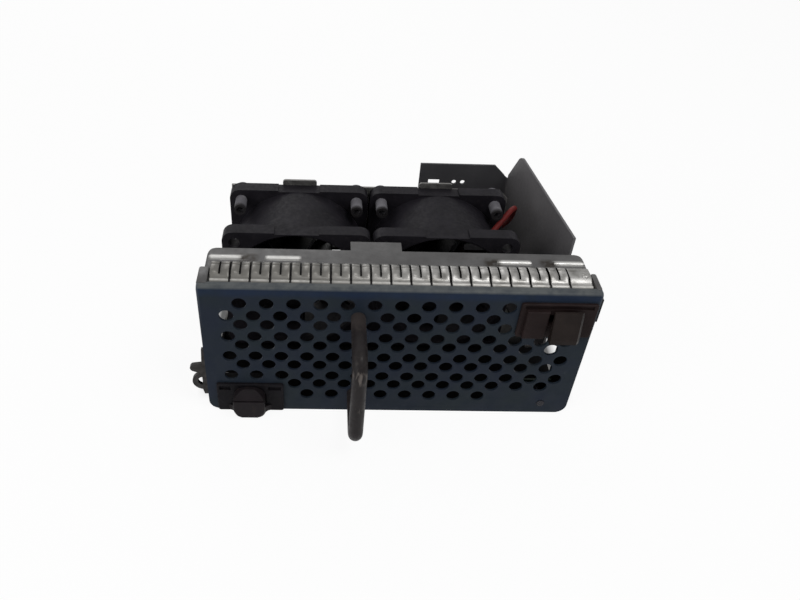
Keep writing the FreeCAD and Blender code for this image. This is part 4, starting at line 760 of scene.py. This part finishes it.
sheet = fingers.modifiers.new("gauge", "SOLIDIFY")
sheet.thickness = GAUGE * MM
sheet.offset = -1
print("segments:", SEGMENTS, "turned over:", len(upside_down))

# %% [markdown]
# The last segment at the right has a round dimple instead of a slit: a shallow dome on the arch.
# Beside the strip the collar's corners are drawn out in a small ear over the plate's side flange,
# from the strip's end to the plate's edge.

# %% Dimple and ears
DIMPLE_IN, DIMPLE_DOWN = 1.0, 0.45      # from the node's right end and from its top, mm
bm = bmesh.new()
revolve(bm, [(0, -0.6), (1.3, -0.6), (1.25, 0.0), (0.95, 0.26), (0.5, 0.39), (0, 0.43)],
        (strip_high.x - DIMPLE_IN, strip_low.y + depth * 0.5, strip_high.z - DIMPLE_DOWN))
finish_piece(bm, "strip_dimple", "spring_steel", sharp=60)

EAR_OUT = 74.55
EAR_FRONT, EAR_REAR, EAR_FOOT, EAR_TOP = 2.4, 12.3, 62.3, 64.85
bm = bmesh.new()
for left, right in ((-EAR_OUT, strip_low.x - 0.3), (strip_high.x + END_REACH + 0.2, EAR_OUT)):
    block(bm, (left, EAR_FRONT, EAR_FOOT), (right, EAR_REAR, EAR_TOP), 0.8)
finish_piece(bm, "collar_ears", "plated_steel")

# %% [markdown]
# ## Rivets and screws
# The sheets are held by domed rivets.  A rivet is one spun outline: a shank, and a flat dome that
# the set has left on it.

# %% Domed rivets
bm = bmesh.new()
for low, high in solids_of("tray_rivets"):
    radius = (high.x - low.x) / 2
    centre = ((low.x + high.x) / 2, (low.y + high.y) / 2, 0)
    revolve(bm, [(0, 0.05), (1.3, 0.05), (1.6, 0.2), (1.6, 2), (radius - 0.05, 2), (radius, 2.12),
                 (radius * 0.94, 2.38), (radius * 0.78, 2.62), (radius * 0.5, 2.76), (0, high.z)],
            centre)
finish_piece(bm, "domed_rivets", "rivet_steel", replaces=["tray_rivets"])

# %% [markdown]
# The board and the pull handle are held by pan-head screws.  A screw is spun with its top left
# open.  The opening is filled, inset to a ring whose corners are pulled into a cross, and that
# face is sunk into the head.


# %% Cross-head screws
BOARD_HEAD, BOARD_SHANK_R = 1.4, 1.2
PULL_HEAD, PULL_SHANK_R = 1.6, 1.5
CROSS_REACH, CROSS_HALF, CROSS_DEPTH = 0.58, 0.13, 0.6


def add_screw(bm, seat, axis, head_r, head_h, shank_r, shank_len):
    """A pan-head screw: seat is the point under the head, and axis points out of the head."""
    before = set(bm.verts)
    revolve(bm, [(0, -shank_len), (shank_r, -shank_len), (shank_r, 0), (head_r, 0),
                 (head_r, head_h * 0.55), (head_r * 0.93, head_h * 0.85),
                 (head_r * 0.78, head_h)], (0, 0, 0))
    rim = [edge for edge in bm.edges if edge.is_boundary]
    cap = bmesh.ops.edgeloop_fill(bm, edges=rim)["faces"][0]
    bmesh.ops.inset_region(bm, faces=[cap], thickness=head_r * 0.1 * MM)
    reach, half = head_r * CROSS_REACH * MM, head_r * CROSS_HALF * MM
    for vert in cap.verts:
        angle = math.atan2(vert.co.y, vert.co.x)
        turn = (angle + math.pi / 4) % (math.pi / 2) - math.pi / 4
        along_arm = abs(math.tan(turn)) * reach <= half
        distance = reach / math.cos(turn) if along_arm else half / abs(math.sin(turn))
        vert.co.x, vert.co.y = distance * math.cos(angle), distance * math.sin(angle)
    sunk = bmesh.ops.extrude_face_region(bm, geom=[cap])["geom"]
    floor_verts = [item for item in sunk if isinstance(item, bmesh.types.BMVert)]
    bmesh.ops.delete(bm, geom=[cap], context="FACES_ONLY")
    bmesh.ops.scale(bm, vec=(0.7, 0.7, 1), verts=floor_verts)
    bmesh.ops.translate(bm, vec=(0, 0, -head_h * CROSS_DEPTH * MM), verts=floor_verts)
    fresh = [vert for vert in bm.verts if vert not in before]
    bmesh.ops.scale(bm, vec=(1 / MM, 1 / MM, 1 / MM), verts=fresh)
    move_new(bm, before, seat, axis)


bm = bmesh.new()
for low, high in solids_of("board_screws"):
    seat = ((low.x + high.x) / 2, low.y + BOARD_HEAD, (low.z + high.z) / 2)
    add_screw(bm, seat, (0, -1, 0), (high.x - low.x) / 2, BOARD_HEAD, BOARD_SHANK_R,
              high.y - low.y - BOARD_HEAD)
finish_piece(bm, "cross_head_screws", "screw_steel", replaces=["board_screws"])

bm = bmesh.new()
for low, high in solids_of("handle_screws"):
    seat = ((low.x + high.x) / 2, high.y - PULL_HEAD, (low.z + high.z) / 2)
    add_screw(bm, seat, (0, 1, 0), (high.x - low.x) / 2, PULL_HEAD, PULL_SHANK_R,
              high.y - PULL_HEAD - low.y)
finish_piece(bm, "pull_screws", "screw_steel", replaces=["handle_screws"])

# %% [markdown]
# ## What stands on the control board
# The board watches the fans' speed.  A controller with legs on four sides and a driver with legs
# on two face the fans.  Boxes with bevelled edges are enough, because that is what packages are.
# A leg is two plain boxes: a riser against the package, and a foot on the board.

# %% Packages and legs
face_y = board_low.y
chips, legs = bmesh.new(), bmesh.new()
LEG_W, FOOT_H, FOOT_OUT, RISER_OUT = 0.28, 0.2, 0.9, 0.3


def add_legs(x, z, w, h, thick, pins, side):
    """A row of legs along one side of a package; side is its (dx, dz) direction."""
    dx, dz = side
    edge, length = (w / 2, h - 0.8) if dx else (h / 2, w - 0.8)
    for pin in range(pins):
        along = ((pin + 0.5) / pins - 0.5) * length
        across = (along - LEG_W / 2, along + LEG_W / 2)
        for reach, deep, shallow in ((FOOT_OUT, FOOT_H, 0),
                                     (RISER_OUT, thick * 0.55, FOOT_H - 0.01)):
            outward = sorted((edge * (dx + dz), (edge + reach) * (dx + dz)))
            xs, zs = (outward, across) if dx else (across, outward)
            block(legs, (x + xs[0], face_y - deep, z + zs[0]),
                  (x + xs[1], face_y - shallow, z + zs[1]))


def add_chip(x, z, w, h, thick, pins, sides):
    """A moulded package on the board's face, with legs on some of its sides."""
    block(chips, (x - w / 2, face_y - thick, z - h / 2), (x + w / 2, face_y - 0.15, z + h / 2),
          0.12)
    for side in sides:
        add_legs(x, z, w, h, thick, pins, side)


FOUR_SIDES = [(1, 0), (-1, 0), (0, 1), (0, -1)]
add_chip(32.6, 28.4, 7, 7, 1.3, 9, FOUR_SIDES)
add_chip(52.2, 21.5, 3.9, 5, 1.4, 4, FOUR_SIDES[:2])
finish_piece(chips, "board_chips", "connector_plastic")
finish_piece(legs, "board_legs", "screw_steel")

# %% [markdown]
# Two rows of ceramics stand below the controller, and two more stand beside the status light on
# its own small board.  The rear connector's pins end on the board in domes of solder: the
# contacts' boxes say where they come through.

# %% Ceramics and solder
ceramics = bmesh.new()
COLUMN_STEP, ROW_STEP = 2.5, 2.4
for column in range(6):
    for row in range(2):
        x, z = 32.5 + column * COLUMN_STEP, 10.4 + row * ROW_STEP
        block(ceramics, (x - 0.8, face_y - 0.5, z - 0.4), (x + 0.8, face_y, z + 0.4), 0.06)
light_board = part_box("status_led_board")[1] / MM
for x in (59.5, 66.2):
    block(ceramics, (x - 0.6, light_board.y, 5.0), (x + 0.6, light_board.y + 0.5, 7.0), 0.06)
finish_piece(ceramics, "board_ceramics", "header_plastic", finish="ceramic")

solder = bmesh.new()
pins = {(round((low.x + high.x) / 2, 1), round((low.z + high.z) / 2, 1))
        for low, high in solids_of("connector_contacts")}
for x, z in sorted(pins):
    revolve(solder, [(0, 0.85), (0.22, 0.8), (0.3, 0.5), (0.62, 0.12), (0.7, 0), (0, 0)],
            (x, face_y, z), (0, -1, 0), steps=16)
finish_piece(solder, "solder_joints", "screw_steel")

# %% [markdown]
# The capacitor is a can that is rolled in near its foot, where the rubber plug is held, and
# stepped down to the rim of its scored top.

# %% Capacitor
can = bmesh.new()
revolve(can, [(0, 0), (3.1, 0), (3.1, 0.6), (2.9, 0.8), (2.9, 1.1), (3.1, 1.4), (3.1, 5.1),
              (2.9, 5.4), (2.3, 5.4), (2.2, 5.3), (0, 5.3)], (27.4, face_y, 19.0), (0, -1, 0), 32)
finish_piece(can, "board_capacitor", "screw_steel")

# %% [markdown]
# ## Camera
# The camera stands over the front of the module, a little to its left, and looks down by about
# forty degrees through a wide lens, as someone does who is about to pull the module out.

# %% Camera
EYE = (-29.75, -204.3, 231.3)       # mm
TURN = (49.493, -2.191, -0.999)     # degrees
camera = bpy.data.objects.new("camera", bpy.data.cameras.new("camera"))
camera.location = Vector(EYE) * MM
camera.rotation_euler = Euler([math.radians(angle) for angle in TURN])
camera.data.lens = 32.94
camera.data.sensor_width = 36
camera.data.shift_x = 0.0658
camera.data.shift_y = 0.0078
camera.data.clip_start = 0.01
bpy.context.collection.objects.link(camera)
bpy.context.scene.camera = camera
print("camera to the plate's foot, mm:", round(Vector(EYE).length))

# %% [markdown]
# ## Light
# Three large soft lamps: the key stands high and to the front right, where it draws the bands on
# the strip, the fill lights the front from the left, and a faint one behind lifts the tops of the
# black parts.  Their levels and the world's add up to about 1 on a surface that faces up, so a
# colour renders about as it is written.


# %% Lamps
def area_light(name, place, size, power):
    """A soft square lamp that looks at the middle of the module."""
    aim = (cad_low + cad_high) / 2
    lamp = bpy.data.objects.new(name, bpy.data.lights.new(name, "AREA"))
    lamp.data.size = size
    lamp.data.energy = power
    lamp.location = place
    lamp.rotation_euler = (aim - Vector(place)).to_track_quat("-Z", "Y").to_euler()
    bpy.context.collection.objects.link(lamp)


area_light("key", (0.30, -0.20, 0.80), 0.35, 3.0)
area_light("fill", (-0.60, -0.40, 0.35), 0.5, 2.4)
area_light("back", (-0.2, 0.70, 0.35), 0.4, 0.8)
print("lamps:", len(bpy.data.lights))

# %% [markdown]
# The backdrop is white and the floor pale.  Rays from the camera, and those that a gloss or a
# clear piece sends on, see full white; the light that falls on the object is a plain grey level.


# %% World
LIGHT_LEVEL = 0.42


def seen_directly(tree):
    """1 for rays from the camera, a reflection or a clear piece, and 0 for the rest."""
    path = tree.nodes.new("ShaderNodeLightPath")
    total = path.outputs["Is Camera Ray"]
    for kind in ("Is Glossy Ray", "Is Transmission Ray"):
        either = tree.nodes.new("ShaderNodeMath")
        either.operation = "MAXIMUM"
        tree.links.new(total, either.inputs[0])
        tree.links.new(path.outputs[kind], either.inputs[1])
        total = either.outputs[0]
    return total


world = bpy.data.worlds.new("studio")
world.use_nodes = True
bpy.context.scene.world = world
level = world.node_tree.nodes.new("ShaderNodeMapRange")
level.inputs["To Min"].default_value = LIGHT_LEVEL
level.inputs["To Max"].default_value = 1.0
world.node_tree.links.new(seen_directly(world.node_tree), level.inputs["Value"])
background = world.node_tree.nodes["Background"]
background.inputs["Color"].default_value = (1, 1, 1, 1)
world.node_tree.links.new(level.outputs["Result"], background.inputs["Strength"])
print("world's light on the module:", LIGHT_LEVEL)

# %% [markdown]
# The floor is a large sheet of pale paper.  Seen directly it is mostly its own light, so that it
# melts into the backdrop.  Close under the module that share sinks to nothing and the paper turns
# grey, which leaves a soft contact shadow and keeps the holes of the plate dark.

# %% Floor
PALE, SHADED = (0.86, 0.86, 0.86), (0.22, 0.22, 0.22)
bm = bmesh.new()
bmesh.ops.create_grid(bm, x_segments=1, y_segments=1, size=3)
floor_mesh = bpy.data.meshes.new("floor")
bm.to_mesh(floor_mesh)
bm.free()
floor = bpy.data.objects.new("floor", floor_mesh)
bpy.context.collection.objects.link(floor)
paper = start_finish("pale_floor", PALE, 0.9)
white = add_node(paper, "ShaderNodeEmission", {"Strength": 1.0})
contact = product(paper, band(paper, "X", -78.5, 78, 2.5), band(paper, "Y", 12, 78, 7))
drive(paper, "Base Color", blend(paper, contact, PALE, SHADED))
shown = limits(paper, contact, 0.0, 1.0, 0.92, 0.0)
share = add_node(paper, "ShaderNodeMath", {0: seen_directly(paper.node_tree), 1: shown},
                 operation="MULTIPLY")
lit = paper.node_tree.nodes["Principled BSDF"].outputs[0]
both = add_node(paper, "ShaderNodeMixShader", {0: share.outputs[0], 1: lit, 2: white.outputs[0]})
paper.node_tree.links.new(both.outputs[0],
                          paper.node_tree.nodes["Material Output"].inputs["Surface"])
floor_mesh.materials.append(paper)
floor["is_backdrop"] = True
print("floor, m:", [round(side, 1) for side in floor.dimensions])
bpy.context.scene.view_settings.view_transform = "Standard"

# %% [markdown]
# ## Sizes and the end
# The dressed part's box is written out here, to set beside the frame's box from the start. The
# dressed part has to stay inside the frame's box.

# %% Sizes
low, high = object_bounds()
print("dressed box in mm:", [round(side / MM, 1) for side in high - low])
